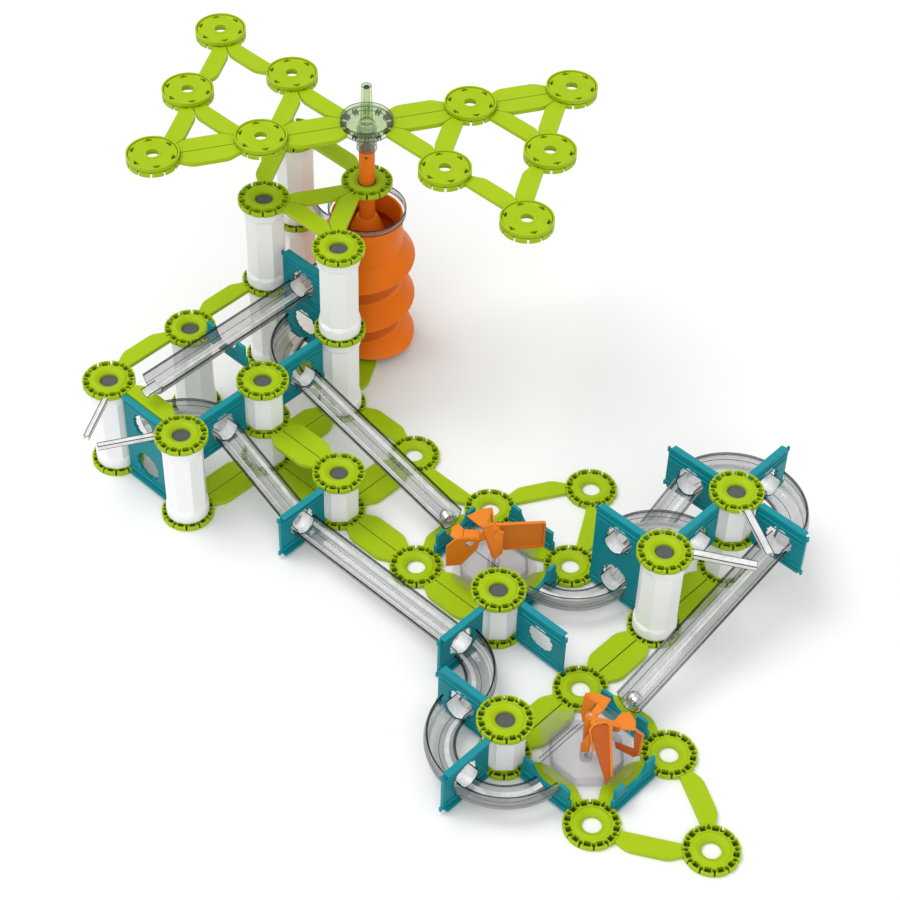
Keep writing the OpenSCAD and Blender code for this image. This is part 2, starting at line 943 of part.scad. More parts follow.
// Ball lying in a straight channel, at the share along of the way from p to q
module marble(p, q, n0, n1, along) {
    run = norm(q - p) * link_pitch;
    drop = channel_z(n0) - channel_z(n1);
    slope = atan2(drop, run);
    translate(place(p) + [0, 0, channel_z(n0)]) rotate(heading(p, q)) {
        translate([run, 0, -drop] * along) rotate([0, slope, 0]) translate([0, 0, -ball_drop]) {
            sphere(ball_r, $fn = round_fn);
        }
    }
}

module marble_1() {
    color("silver") marble([-3, 0.5], [-1, 0.5], 1, 0, 0.955);
}

module marble_2() {
    color("silver") marble([1.5, 2], [1.5, 0], 1, 0, 0.955);
}

ground_discs();
middle_discs();
top_discs();
tower_discs();
disc_plugs();
short_columns();
tall_columns();
tower_columns();
ground_beams();
middle_beams();
upper_beams();
tower_beams();
short_panels();
raised_panels();
tall_panels();
saddle_panels();
tower_channel();
wheel_1_channel();
wheel_2_channel();
front_channel();
drop_channel();
rear_channel();
curved_channels();
guide_bars();
rotor_caps();
rotor_discs();
rotor_beams();
hub_cap();
hub_disc();
hub_collar();
handle_rod();
drive_shaft();
screw_shell();
screw_core();
hopper_ring();
hopper_tray();
foot_bearing();
shaft_bush();
wheel_1_vanes();
wheel_1_pin();
wheel_1_base();
wheel_2_vanes();
wheel_2_pin();
wheel_2_base();
marble_1();
marble_2();
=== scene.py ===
"""Looks of the marble run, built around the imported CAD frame. Metres, +Z up, origin on the lift axis."""

import json
import math

import bmesh
import bpy
from mathutils import Matrix, Vector


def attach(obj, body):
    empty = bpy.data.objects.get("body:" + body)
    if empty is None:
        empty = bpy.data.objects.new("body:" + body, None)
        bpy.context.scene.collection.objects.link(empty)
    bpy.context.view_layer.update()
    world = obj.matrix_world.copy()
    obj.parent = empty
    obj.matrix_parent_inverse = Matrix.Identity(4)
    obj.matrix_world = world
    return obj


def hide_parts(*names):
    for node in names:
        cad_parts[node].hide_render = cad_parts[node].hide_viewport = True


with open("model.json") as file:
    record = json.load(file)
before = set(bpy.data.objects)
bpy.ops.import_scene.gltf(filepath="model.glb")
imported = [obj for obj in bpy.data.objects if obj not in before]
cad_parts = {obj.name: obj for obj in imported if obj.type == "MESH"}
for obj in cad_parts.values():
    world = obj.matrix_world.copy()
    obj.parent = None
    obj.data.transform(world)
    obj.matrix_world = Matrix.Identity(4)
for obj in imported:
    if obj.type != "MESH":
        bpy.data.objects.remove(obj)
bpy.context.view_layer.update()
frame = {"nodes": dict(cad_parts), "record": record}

MM = 0.001


# ------------------------------------------------------------ materials

class Nodes:
    """A material's node tree with short calls to add and link nodes."""

    def __init__(self, name):
        self.material = bpy.data.materials.new(name)
        self.material.use_nodes = True
        self.tree = self.material.node_tree
        self.tree.nodes.clear()
        self.out = self.add("ShaderNodeOutputMaterial")
        self.place = self.add("ShaderNodeTexCoord").outputs["Object"]

    def add(self, kind, **settings):
        node = self.tree.nodes.new(kind)
        for key, value in settings.items():
            setattr(node, key, value)
        return node

    def link(self, source, target):
        self.tree.links.new(source, target)

    def noise(self, per_metre, detail=3.0, rough=0.5):
        node = self.add("ShaderNodeTexNoise")
        self.link(self.place, node.inputs["Vector"])
        node.inputs["Scale"].default_value = per_metre
        node.inputs["Detail"].default_value = detail
        node.inputs["Roughness"].default_value = rough
        return node.outputs["Fac"]

    def spread(self, source, low_in, high_in, low_out, high_out):
        node = self.add("ShaderNodeMapRange")
        self.link(source, node.inputs["Value"])
        limits = {"From Min": low_in, "From Max": high_in, "To Min": low_out, "To Max": high_out}
        for key, value in limits.items():
            node.inputs[key].default_value = value
        return node.outputs["Result"]

    def blend_colours(self, factor, first, second):
        node = self.add("ShaderNodeMix", data_type="RGBA")
        self.link(factor, node.inputs[0])
        for index, colour in ((6, first), (7, second)):
            if isinstance(colour, tuple):
                node.inputs[index].default_value = (*colour, 1.0)
            else:
                self.link(colour, node.inputs[index])
        return node.outputs[2]

    def bump(self, height, distance, strength=1.0):
        node = self.add("ShaderNodeBump")
        self.link(height, node.inputs["Height"])
        node.inputs["Distance"].default_value = distance
        node.inputs["Strength"].default_value = strength
        return node.outputs["Normal"]


def moulded_plastic(name, colour, shade, roughness):
    """Injection-moulded plastic: faint flow marks in the colour, fine skin texture, sharp edges painted paler
    as a painted highlight.
    """
    n = Nodes(name)
    body = n.add("ShaderNodeBsdfPrincipled")
    n.link(body.outputs["BSDF"], n.out.inputs["Surface"])
    flow = n.spread(n.noise(14, 2, 0.5), 0.3, 0.7, 0.0, 1.0)
    tinted = n.blend_colours(flow, colour, shade)
    # Painted highlight: sharp edges are painted in a paler colour.
    edge = n.add("ShaderNodeNewGeometry").outputs["Pointiness"]
    edge_highlight = n.spread(edge, 0.52, 0.62, 0.0, 0.35)
    pale = tuple(min(1.0, c * 1.25 + 0.04) for c in colour)
    n.link(n.blend_colours(edge_highlight, tinted, pale), body.inputs["Base Color"])
    n.link(n.spread(n.noise(160, 3), 0.3, 0.7, roughness - 0.05, roughness + 0.07), body.inputs["Roughness"])
    n.link(n.bump(n.noise(1800, 2), 0.00002, 0.6), body.inputs["Normal"])
    body.inputs["IOR"].default_value = 1.45
    body.inputs["Specular IOR Level"].default_value = 0.14
    return n.material


def clear_plastic(name, haze, rim, haze_share, shine_top=0.75):
    """Clear moulding: faint smoky haze face on, a painted dark outline where a wall turns away, sharp
    reflections.
    """
    n = Nodes(name)
    facing = n.add("ShaderNodeLayerWeight")
    facing.inputs["Blend"].default_value = 0.5
    ripple = n.bump(n.noise(60, 2), 0.0004, 0.3)
    through = n.add("ShaderNodeBsdfTransparent")
    # Painted dark outline: the see-through colour darkens towards the rim colour as the wall turns edge-on.
    turned_away = n.spread(facing.outputs["Facing"], 0.45, 0.95, 0.0, 1.0)
    n.link(n.blend_colours(turned_away, haze, rim), through.inputs["Color"])
    cloud = n.add("ShaderNodeBsdfDiffuse")
    cloud.inputs["Color"].default_value = (0.47, 0.47, 0.48, 1)
    body = n.add("ShaderNodeMixShader")
    n.link(n.spread(n.noise(120, 3), 0.3, 0.7, haze_share * 0.8, haze_share * 1.2), body.inputs["Fac"])
    n.link(through.outputs["BSDF"], body.inputs[1])
    n.link(cloud.outputs["BSDF"], body.inputs[2])
    shine = n.add("ShaderNodeBsdfGlossy")
    n.link(n.spread(n.noise(300, 2), 0.3, 0.7, 0.04, 0.10), shine.inputs["Roughness"])
    n.link(ripple, shine.inputs["Normal"])
    steep = n.add("ShaderNodeMath", operation="POWER")
    n.link(facing.outputs["Facing"], steep.inputs[0])
    steep.inputs[1].default_value = 4.0
    mix = n.add("ShaderNodeMixShader")
    n.link(n.spread(steep.outputs["Value"], 0.0, 1.0, 0.045, shine_top), mix.inputs["Fac"])
    n.link(body.outputs["Shader"], mix.inputs[1])
    n.link(shine.outputs["BSDF"], mix.inputs[2])
    n.link(mix.outputs["Shader"], n.out.inputs["Surface"])
    return n.material


def bright_clear(name, share):
    """Clear moulding with a painted white sheen, standing in for reflected light, over what lies behind it.
    """
    n = Nodes(name)
    through = n.add("ShaderNodeBsdfTransparent")
    through.inputs["Color"].default_value = (0.97, 0.97, 0.97, 1)
    # Painted highlight: a white surface mixed over the see-through part.
    sheen = n.add("ShaderNodeBsdfPrincipled")
    sheen.inputs["Base Color"].default_value = (0.93, 0.93, 0.93, 1)
    n.link(n.spread(n.noise(300, 2), 0.3, 0.7, 0.10, 0.25), sheen.inputs["Roughness"])
    mix = n.add("ShaderNodeMixShader")
    n.link(n.spread(n.noise(90, 3), 0.3, 0.7, share * 0.7, share * 1.3), mix.inputs["Fac"])
    n.link(through.outputs["BSDF"], mix.inputs[1])
    n.link(sheen.outputs["BSDF"], mix.inputs[2])
    n.link(mix.outputs["Shader"], n.out.inputs["Surface"])
    return n.material


def polished_steel(name):
    """Ball-bearing steel with the faintest change of tone and polish over it."""
    n = Nodes(name)
    body = n.add("ShaderNodeBsdfPrincipled")
    n.link(body.outputs["BSDF"], n.out.inputs["Surface"])
    body.inputs["Metallic"].default_value = 1.0
    tone = n.blend_colours(n.noise(500, 3), (0.72, 0.73, 0.75), (0.82, 0.82, 0.83))
    n.link(tone, body.inputs["Base Color"])
    n.link(n.spread(n.noise(900, 4), 0.3, 0.7, 0.05, 0.14), body.inputs["Roughness"])
    return n.material


MOULDED = {
    "lime_plastic": ((0.355, 0.505, 0.004), (0.33, 0.475, 0.004), 0.38),
    # Near-black lime painted under the discs' openings and into plank seams as their shade.
    "lime_painted_shade": ((0.03, 0.055, 0.002), (0.02, 0.04, 0.002), 0.6),
    "teal_plastic": ((0.0, 0.235, 0.28), (0.0, 0.21, 0.25), 0.36),
    "orange_plastic": ((0.88, 0.185, 0.005), (0.83, 0.17, 0.005), 0.36),
    "orange_vane": ((0.70, 0.19, 0.010), (0.66, 0.175, 0.009), 0.36),
    # Darker orange painted under the screw's thread crests as their shade.
    "orange_painted_shade": ((0.66, 0.12, 0.004), (0.60, 0.11, 0.004), 0.38),
    # Dark orange painted on wheel 2's inner sheets as their shade.
    "orange_painted_deep_shade": ((0.44, 0.085, 0.003), (0.40, 0.075, 0.003), 0.4),
    "white_plastic": ((0.93, 0.93, 0.93), (0.92, 0.92, 0.92), 0.34),
    "grey_plastic": ((0.085, 0.085, 0.09), (0.07, 0.07, 0.075), 0.42),
    # Near black, painted as shade in holes, slots and grooves, and as dark outlines along clear parts.
    "painted_dark_mark": ((0.02, 0.022, 0.02), (0.018, 0.02, 0.018), 0.3),
}
# Clear looks: haze colour, colour of the painted dark outline, share of cloud, and for some the top of the
# shine.
CLEAR = {
    "clear_plastic": ((0.88, 0.88, 0.88), (0.40, 0.41, 0.42), 0.12),
    # Dark see-through look painted on gutter rims and thin ribs as dark outlines.
    "clear_painted_outline": ((0.22, 0.23, 0.24), (0.16, 0.17, 0.18), 0.0, 0.3),
    "deck_clear": ((0.95, 0.95, 0.96), (0.6, 0.61, 0.62), 0.06),
    "hub_clear": ((0.88, 0.94, 0.80), (0.62, 0.72, 0.45), 0.06),
}
LOOKS = {name: moulded_plastic(name, *values) for name, values in MOULDED.items()}
LOOKS.update({name: clear_plastic(name, *values) for name, values in CLEAR.items()})
# Painted sheen for bright gutter ribs, spouts and guide bars.
LOOKS["clear_painted_sheen"] = bright_clear("clear_painted_sheen", 0.6)
LOOKS["steel"] = polished_steel("polished_steel")

slot_of = {row["node"]: row["material_slot"] for row in frame["record"]["subparts"]}
for node, obj in frame["nodes"].items():
    obj.data.materials.clear()
    obj.data.materials.append(LOOKS[slot_of[node]])


# ------------------------------------------------------------- geometry

# Sizes in millimetres. The object is laid out on a grid of sites, whose step is one link.
LINK = 90.0
LEVEL = 45.0
DISC_R = 22.0
DISC_T = 4.5
HOLE_R = 7.7
SOCKETS = 12
POST_BORE_R = 14.5
ROW = math.sqrt(3) / 2
END_GAP = 3.35
GUTTER_R = 12.0
ORIGIN = (-3.5, 1 + ROW)
ROTOR_Z = 241.0
CAP_Z = ROTOR_Z + DISC_T
AXIS_R = 0.01
UP = Vector((0, 0, 1))

# T: towers round the lift. P: posts. A to I: floor discs with nothing on them.
T1, T2, T3, T4 = (-4, 1), (-3, 1), (-3.5, 1 + ROW), (-4.5, 1 + ROW)
P1, P2, P3, P4, P5, P6 = (-2, 0), (0, 0), (1, -1), (-3, 0), (1, 1), (1, 2)
P7, P8, P9 = (-3, -1), (-4, -1), (-4, 0)
A, B, C, D, E, F, G, H, I = ((-2, 1), (-1, 1), (-0.5, 1 + ROW), (0, 1), (-1, 0), (1, 0), (2, 0), (2, -1),
                             (2 + ROW, -0.5))
FLOOR = [T1, T2, T4, P1, P2, P3, P4, P5, P6, P7, P8, P9, A, B, C, D, E, F, G, H, I]
LOW_POSTS = [P1, P2, P3]
SPLIT_POSTS = [P4, P6]
HIGH_POSTS = [P5, P7, P8, P9]
TOWERS = [T1, T2, T4]
ROTOR_HALF = [(0.5, ROW), (1, 2 * ROW), (1, 0), (1.5, ROW), (2, 0)]
ROTOR = ROTOR_HALF + [(-x, -y) for x, y in ROTOR_HALF]


def site(s, z=0.0):
    """Place of a grid site, given in links, at a height in millimetres."""
    return Vector(((s[0] - ORIGIN[0]) * LINK, (s[1] - ORIGIN[1]) * LINK, z))


def channel_z(n):
    """Height of a channel's rim on a level."""
    return n * LEVEL + (DISC_T + LEVEL) / 2


def turned(degrees):
    return Matrix.Rotation(math.radians(degrees), 4, "Z")


def moved(place, degrees=0.0):
    return Matrix.Translation(place) @ turned(degrees)


def along(p, q, z=0.0):
    """Placement whose x axis runs from site p to site q."""
    heading = math.degrees(math.atan2(q[1] - p[1], q[0] - p[0]))
    return moved(site(p, z), heading)


class Shape:
    """Millimetre points and faces collected into one piece."""

    def __init__(self):
        self.verts = []
        self.faces = []
        self.marked = []

    def add(self, part, matrix=None, flip=False):
        verts, faces = part[0], part[1]
        base = len(self.verts)
        start = len(self.faces)
        self.verts += [matrix @ Vector(v) if matrix else Vector(v) for v in verts]
        self.faces += [tuple(base + k for k in (f[::-1] if flip else f)) for f in faces]
        if len(part) > 2:
            self.marked += [start + k for k in part[2]]
        return self

    def piece(self, name, look, body, replaced=(), second=None, crisp=32, slot=None):
        data = bpy.data.meshes.new(name)
        data.from_pydata([v * MM for v in self.verts], [], self.faces)
        data.validate()
        data.update()
        data.shade_smooth()
        data.set_sharp_from_angle(angle=math.radians(crisp))
        data.materials.append(LOOKS[look])
        if second:
            data.materials.append(LOOKS[second])
            for index in self.marked:
                data.polygons[index].material_index = 1
        obj = bpy.data.objects.new(name, data)
        bpy.context.scene.collection.objects.link(obj)
        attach(obj, body)
        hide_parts(*replaced)
        return obj


def circle(radius, count, start=0.0, end=360.0, middle=(0.0, 0.0)):
    """Points of a full circle, or of an arc with both of its ends."""
    full = abs(end - start) >= 360
    steps = count if full else count - 1
    return [polar(radius, start + (end - start) * k / steps, middle) for k in range(count)]


def polar(radius, degrees, middle=(0.0, 0.0)):
    turn = math.radians(degrees)
    return middle[0] + radius * math.cos(turn), middle[1] + radius * math.sin(turn)


def mirrored(half):
    """Outline closed with its own reflection in the middle of a link."""
    return half + [(LINK - x, y) for x, y in reversed(half)]


def plate(loops, low, high, edge=0.3):
    """Flat plate from outlines (outer one first, holes after it) with rounded edges."""
    curve = bpy.data.curves.new("outline", "CURVE")
    curve.dimensions = "2D"
    curve.fill_mode = "BOTH"
    for loop in loops:
        line = curve.splines.new("POLY")
        line.points.add(len(loop) - 1)
        for point, (x, y) in zip(line.points, loop):
            point.co = (x, y, 0, 1)
        line.use_cyclic_u = True
    curve.extrude = (high - low) / 2 - edge
    curve.bevel_depth = edge
    curve.bevel_resolution = 1
    curve.offset = -edge
    obj = bpy.data.objects.new("outline", curve)
    bpy.context.scene.collection.objects.link(obj)
    mesh = bpy.data.meshes.new_from_object(obj)
    verts = [(v.co.x, v.co.y, v.co.z + (low + high) / 2) for v in mesh.vertices]
    faces = [tuple(f.vertices) for f in mesh.polygons]
    bpy.data.objects.remove(obj)
    bpy.data.curves.remove(curve)
    bpy.data.meshes.remove(mesh)
    return verts, faces


def revolve(profile, count=48):
    """Closed ring from a closed (radius, height) outline, listed anticlockwise."""
    verts = [(r * math.cos(t), r * math.sin(t), z)
             for t in (2 * math.pi * k / count for k in range(count)) for r, z in profile]
    size = len(profile)
    faces = []
    for k in range(count):
        here, there = k * size, (k + 1) % count * size
        for j in range(size):
            nxt = (j + 1) % size
            faces.append((here + j, there + j, there + nxt, here + nxt))
    return verts, faces


def band(inner, outer, low, high, count=48):
    """Ring of rectangular section."""
    return revolve([(inner, low), (outer, low), (outer, high), (inner, high)], count)


def box(x0, x1, y0, y1, z0, z1, edge=0.3):
    """Box with chamfered edges."""
    points = []
    for x, sx in ((x0, 1), (x1, -1)):
        for y, sy in ((y0, 1), (y1, -1)):
            for z, sz in ((z0, 1), (z1, -1)):
                points += [(x + sx * edge, y + sy * edge, z), (x + sx * edge, y, z + sz * edge),
                           (x, y + sy * edge, z + sz * edge)]
    return hull(points)


def hull(points):
    """Smallest convex solid round the points."""
    mesh = bmesh.new()
    for point in points:
        mesh.verts.new(point)
    bmesh.ops.convex_hull(mesh, input=mesh.verts)
    bmesh.ops.dissolve_limit(mesh, angle_limit=0.01, verts=mesh.verts, edges=mesh.edges)
    mesh.verts.ensure_lookup_table()
    mesh.verts.index_update()
    result = [tuple(v.co) for v in mesh.verts], [tuple(v.index for v in f.verts) for f in mesh.faces]
    mesh.free()
    return result


def sweep(stations, profile):
    """Joins an (outer, inner) line pair placed at each station into a closed wall; marks its rims."""
    outer, inner = profile
    loop = outer + inner[::-1]
    count = len(loop)
    half = len(outer)
    verts = [at(x, y) for at in stations for x, y in loop]
    faces = []
    rims = []
    for row in range(len(stations) - 1):
        base, above = row * count, (row + 1) * count
        for k in range(count):
            nxt = (k + 1) % count
            faces.append((base + k, base + nxt, above + nxt, above + k))
            if k in (half - 1, count - 1):
                rims.append(len(faces) - 1)
    for base, flip in ((0, True), ((len(stations) - 1) * count, False)):
        for k in range(half - 1):
            quad = (base + k, base + k + 1, base + count - 2 - k, base + count - 1 - k)
            faces.append(quad[::-1] if flip else quad)
            rims.append(len(faces) - 1)
    return verts, faces, rims


# ---------------------------------------------------------------- discs

def keyed_rim():
    """Outline of the disc's rim: keyhole sockets open to the outside."""
    slit, socket, ring = 0.8, 1.9, 0.86 * DISC_R
    mouth = math.degrees(math.asin(slit / DISC_R))
    throat = math.degrees(math.asin(slit / socket))
    pitch = 360 / SOCKETS
    outline = []
    for k in range(SOCKETS):
        middle = pitch * (k + 0.5)
        outline += circle(DISC_R, 6, middle - pitch + mouth, middle - mouth)
        outline += circle(socket, 11, middle - throat, middle + throat - 360, polar(ring, middle))
    return outline


def pocket(middle):
    """Window in the rim between two sockets."""
    inner, outer = 0.745 * DISC_R, 0.95 * DISC_R
    corners = ((inner, -8.5), (outer, -7.6), (outer, 0), (outer, 7.6), (inner, 8.5))
    return [polar(radius, middle + turn) for radius, turn in corners]


POCKETS = [pocket(360 / SOCKETS * k) for k in range(SOCKETS)]
RIM_PLATE = plate([keyed_rim()] + POCKETS + [circle(15.2, 36)], 0, DISC_T, 0.12)
RING = revolve([(HOLE_R, 0.3), (15.6, 0.3), (15.6, 4.2), (14.7, 4.9), (13.6, 5.7), (12.6, 5.95), (11.6, 5.7),
                (9.6, 4.7), (8.3, 3.8), (HOLE_R, 3.0)])
PLUG = band(AXIS_R, HOLE_R - 0.05, 0.2, 0.9, 32)
# Dark ring painted under a disc's rim so that its openings show painted shade.
SOCKET_SHADE = band(15.4, 21.3, 0.25, 0.75)


def discs(name, places, body, replaced, flip=False):
    """Discs with a raised ring round the hole, and a dark ring painted under the rim's openings as their
    shade.
    """
    rim, socket_shade = Shape(), Shape()
    for place in places:
        matrix = Matrix.Translation(place)
        if flip:
            matrix = matrix @ Matrix.Translation((0, 0, DISC_T)) @ Matrix.Diagonal((1, 1, -1, 1))
        rim.add(RIM_PLATE, matrix, flip)
        rim.add(RING, matrix, flip)
        socket_shade.add(SOCKET_SHADE, matrix, flip)
    rim.piece(name, "lime_plastic", body, replaced)
    socket_shade.piece(name + "_sockets", "lime_painted_shade", body, slot="lime_plastic")


def all_discs():
    """Lime discs on every level, and the grey plugs in those on top of posts."""
    discs("floor_discs", [site(s) for s in FLOOR], "frame", ["ground_discs"])
    discs("level_discs", [site(s, LEVEL) for s in SPLIT_POSTS] + [site(s, 2 * LEVEL) for s in TOWERS],
          "frame", ["middle_discs"])
    tops = [site(s, LEVEL) for s in LOW_POSTS] + [site(s, 2 * LEVEL) for s in SPLIT_POSTS + HIGH_POSTS]
    discs("post_discs", tops, "frame", ["top_discs"])
    discs("crown_discs", [site(s, 4 * LEVEL) for s in TOWERS + [T3]], "frame", ["tower_discs"])
    places = [Vector((x * LINK, y * LINK, ROTOR_Z)) for x, y in ROTOR]
    discs("rotor_rims", places, "lift_rotor", ["rotor_discs"], True)
    plugs = Shape()
    for place in tops + [site(s, 4 * LEVEL) for s in TOWERS]:
        plugs.add(PLUG, Matrix.Translation(place))
    plugs.piece("post_plugs", "grey_plastic", "frame", ["disc_plugs"])


CAP_HOLE_R = 5.2
CAP_SLOTS = 6


def slotted_face():
    """Flat face of a rotor cover with T-shaped slots cut through it."""
    stem, arm = 1.3, 2.9
    foot, middle, head = (0.81 * DISC_R - y for y in (-1.8, -0.5, 1.3))
    tee = [(foot, -stem), (foot, stem), (middle, stem), (middle, arm), (head, arm), (head, -arm),
           (middle, -arm), (middle, -stem)]
    loops = [circle(20.0, 64)]
    for k in range(CAP_SLOTS):
        turn = turned(360 / CAP_SLOTS * (k + 0.5))
        loops.append([tuple((turn @ Vector((*point, 0)))[:2]) for point in tee])
    return plate(loops + [circle(CAP_HOLE_R, 24)], 0.6, 3.5, 0.15)


CAP_FACE = slotted_face()
CAP_RIM = revolve([(20.5, 0.6), (21.9, 0.6), (22.0, 0.8), (22.0, 4.2), (21.7, 4.5), (20.9, 4.5), (20.6, 4.3),
                   (20.5, 3.4)], 72)
CAP_BOSS = revolve([(CAP_HOLE_R, 0.6), (7.4, 0.6), (7.4, 3.7), (7.1, 4.0), (5.5, 4.0), (CAP_HOLE_R, 3.7)], 40)
# Dark ring under a cover's face: painted shade in its slots and round its edge.
CAP_GROOVE = band(9.0, 20.6, 0.1, 0.7)


def rotor_caps():
    """Slotted covers on the rotor's discs, with a dark ring of painted shade under each face, seen through
    its slots and round its edge.
    """
    caps, grooves = Shape(), Shape()
    for x, y in ROTOR:
        matrix = Matrix.Translation((x * LINK, y * LINK, CAP_Z))
        for part in (CAP_FACE, CAP_RIM, CAP_BOSS):
            caps.add(part, matrix)
        grooves.add(CAP_GROOVE, matrix)
    caps.piece("rotor_covers", "lime_plastic", "lift_rotor", ["rotor_caps"])
    grooves.piece("rotor_cover_grooves", "painted_dark_mark", "lift_rotor", slot="lime_plastic")


# ---------------------------------------------------------------- beams

def beam_half():
    """Half of a six-sided plank between two discs, its straight edge along the link's middle line."""
    seam = 0.55
    clear = DISC_R + 0.2
    low_end = math.degrees(math.asin(seam / clear))
    return mirrored([(32, 16.5), (28, 15.6)] + circle(clear, 7, 29.05, low_end))


BEAM = plate([beam_half()], 0, 4.2, 0.28)
# Dark strip in the gap between two plank halves: painted shade.
SEAM_SHADE = box(23, LINK - 23, -0.7, 0.7, 0.4, 2.2, 0.1)


def beams(name, singles, doubles, z, body, replaced):
    """Half-width planks, and full ones made of two halves with a dark strip of painted shade in the seam
    between them.
    """
    planks, seams = Shape(), Shape()
    for p, q in singles:
        planks.add(BEAM, along(p, q, z))
    for p, q in doubles:
        planks.add(BEAM, along(p, q, z))
        planks.add(BEAM, along(q, p, z))
        seams.add(SEAM_SHADE, along(p, q, z))
    planks.piece(name, "lime_plastic", body, replaced)
    if doubles:
        seams.piece(name + "_seams", "lime_painted_shade", body, slot="lime_plastic")


def all_beams():
    """Lime planks that join the discs of each level."""
    beams("floor_planks",
          [(T1, T2), (T2, A), (B, A), (B, C), (C, D), (D, B), (P2, D), (E, B), (T3, T2), (T1, T4), (T4, T3),
           (T3, T1), (F, G), (G, I), (I, H), (H, G), (P3, H)],
          [(P7, P4), (P4, T2), (P4, P1), (P1, A), (P1, E), (E, P2), (P3, F), (F, P5), (P5, P6)],
          0, "frame", ["ground_beams"])
    beams("level_1_planks", [], [(P4, P1)], LEVEL, "frame", ["middle_beams"])
    beams("level_2_planks", [(P8, P9), (P9, T1), (P8, P7)], [], 2 * LEVEL, "frame", ["upper_beams"])
    crown = [(T1, T2), (T2, T3), (T3, T1), (T1, T4), (T4, T3)]
    beams("crown_planks", crown, [], 4 * LEVEL, "frame", ["tower_beams"])
    rotor_beams()


def rotor_beams():
    """Two halves of a lattice, each the other turned half way round the axis."""
    half_singles = (((0, 0), (0, 1)), ((0, 1), (1, 0)), ((1, 0), (1, 1)), ((1, 1), (2, 0)), ((0, 1), (0, 2)),
                    ((0, 2), (1, 1)))
    half_doubles = (((0, 0), (1, 0)), ((1, 0), (2, 0)))

    def both_halves(pairs):
        return [tuple((T3[0] + side * (0.5 * m + n), T3[1] + side * ROW * m) for m, n in pair)
                for side in (1, -1) for pair in pairs]

    beams("rotor_planks", both_halves(half_singles), both_halves(half_doubles), ROTOR_Z + 0.15, "lift_rotor",
          ["rotor_beams"])


# -------------------------------------------------------------- columns

def column(height, round_r, apothem, collar):
    """Round collars at both ends; between them eight flats cut in, which leaves an arch at each end."""
    arch, flats, count = 3.5, 8, 96
    pitch = 2 * math.pi / flats

    def flat_at(z):
        if not collar:
            return apothem
        depth = min(max((min(z, height - z) - collar) / arch, 0.0), 1.0)
        return round_r * (1 - depth) + apothem * depth

    levels = [0.0, 0.5, 1.5]
    if collar:
        levels += [collar - 0.01] + [collar + arch * j / 7 for j in range(1, 8)]
    levels = sorted(set(levels + [height - z for z in levels]))
    outer = []
    for z in levels:
        ring = []
        for k in range(count):
            t = 2 * math.pi * k / count
            off = (t + pitch / 2) % pitch - pitch / 2
            r = flat_at(z) / math.cos(off)
            if collar:
                r = min(r, round_r)
            r -= 0.5 if z in (0.0, height) else 0.0
            ring.append((r * math.cos(t), r * math.sin(t), z))
        outer.append(ring)
    inner = [[(*point, z) for point in circle(POST_BORE_R, count)] for z in (height, 0.0)]
    rings = outer + inner
    verts = [v for ring in rings for v in ring]
    faces = []
    for row in range(len(rings)):
        here, there = row * count, (row + 1) % len(rings) * count
        for k in range(count):
            nxt = (k + 1) % count
            faces.append((here + k, here + nxt, there + nxt, there + k))
    return verts, faces


def columns():
    """White posts: low and split ones in short lengths, high ones in one tall length, towers in two."""
    short = column(LEVEL - DISC_T, round_r=17.2, apothem=15.9, collar=0)
    tall = column(2 * LEVEL - DISC_T, round_r=18.0, apothem=16.1, collar=8.5)
    low, high, tower = Shape(), Shape(), Shape()
    for s in LOW_POSTS + SPLIT_POSTS:
        low.add(short, Matrix.Translation(site(s, DISC_T)))
    for s in SPLIT_POSTS:
        low.add(short, Matrix.Translation(site(s, LEVEL + DISC_T)))
    for s in HIGH_POSTS:
        high.add(tall, Matrix.Translation(site(s, DISC_T)))
    for s in TOWERS:
        for n in (0, 2):
            tower.add(tall, Matrix.Translation(site(s, n * LEVEL + DISC_T)))
    low.piece("short_posts", "white_plastic", "frame", ["short_columns"], crisp=18)
    high.piece("tall_posts", "white_plastic", "frame", ["tall_columns"], crisp=18)
    tower.piece("tower_posts", "white_plastic", "frame", ["tower_columns"], crisp=18)


# --------------------------------------------------------------- panels

BALL_WAY_R = 13.4
TEETH = 12
PANEL_END = 22.4
PANEL_TAB = 20.4
PANEL_FOOT = 2.45
TAB_FOOT = 4.7
WALL_HALF = 1.5
RAIL = (22.5, LINK - 22.5)
HOOK = 1.8


def toothed_hole(z):
    """Hole for a ball, its edge broken by small half-round teeth."""
    middle = (LINK / 2, z)
    outline = []
    for k in range(TEETH):
        start = 360 / TEETH * k
        tooth = 360 / TEETH * (k + 1)
        outline += circle(BALL_WAY_R, 5, start + 6, tooth - 6, middle)
        outline += reversed(circle(1.25, 5, tooth + 100, tooth + 260, polar(BALL_WAY_R, tooth, middle)))
    return outline


STAND = Matrix.Translation((0, 1.65, 0)) @ Matrix.Rotation(math.radians(90), 4, "X")


def panel(shape, p, q, n, levels=1):
    """Upright panel on the left of the way from p to q."""
    height = levels * LEVEL
    matrix = along(p, q, n * LEVEL)
    top, tab_top = height + PANEL_FOOT, height - 0.2
    outline = mirrored([(PANEL_END, top), (PANEL_END, tab_top), (PANEL_TAB, tab_top), (PANEL_TAB, TAB_FOOT),
                        (PANEL_END, TAB_FOOT), (PANEL_END, PANEL_FOOT)])
    holes = [toothed_hole(channel_z(level)) for level in range(levels)]
    shape.add(plate([outline] + holes, -WALL_HALF, WALL_HALF), matrix @ STAND)
    for z, depth in ((2.55, 6.1), (height + 0.85, 6.1), (9.25, 4.3), (height - 4.75, 4.3)):
        shape.add(box(*RAIL, 2.6, depth, z, z + 1.5, 0.25), matrix)
    for z in (5.0, 9.6, height - 9.6, height - 4.6):
        shape.add(box(*RAIL, -0.75, 0.4, z, z + 1.0, 0.3), matrix)
    for x in (PANEL_TAB - HOOK, LINK - PANEL_TAB):
        for low, high in ((2.9, 7.5), (height - 3, height + 1.9)):
            shape.add(box(x, x + HOOK, 0.3, 2.6, low, high, 0.3), matrix)


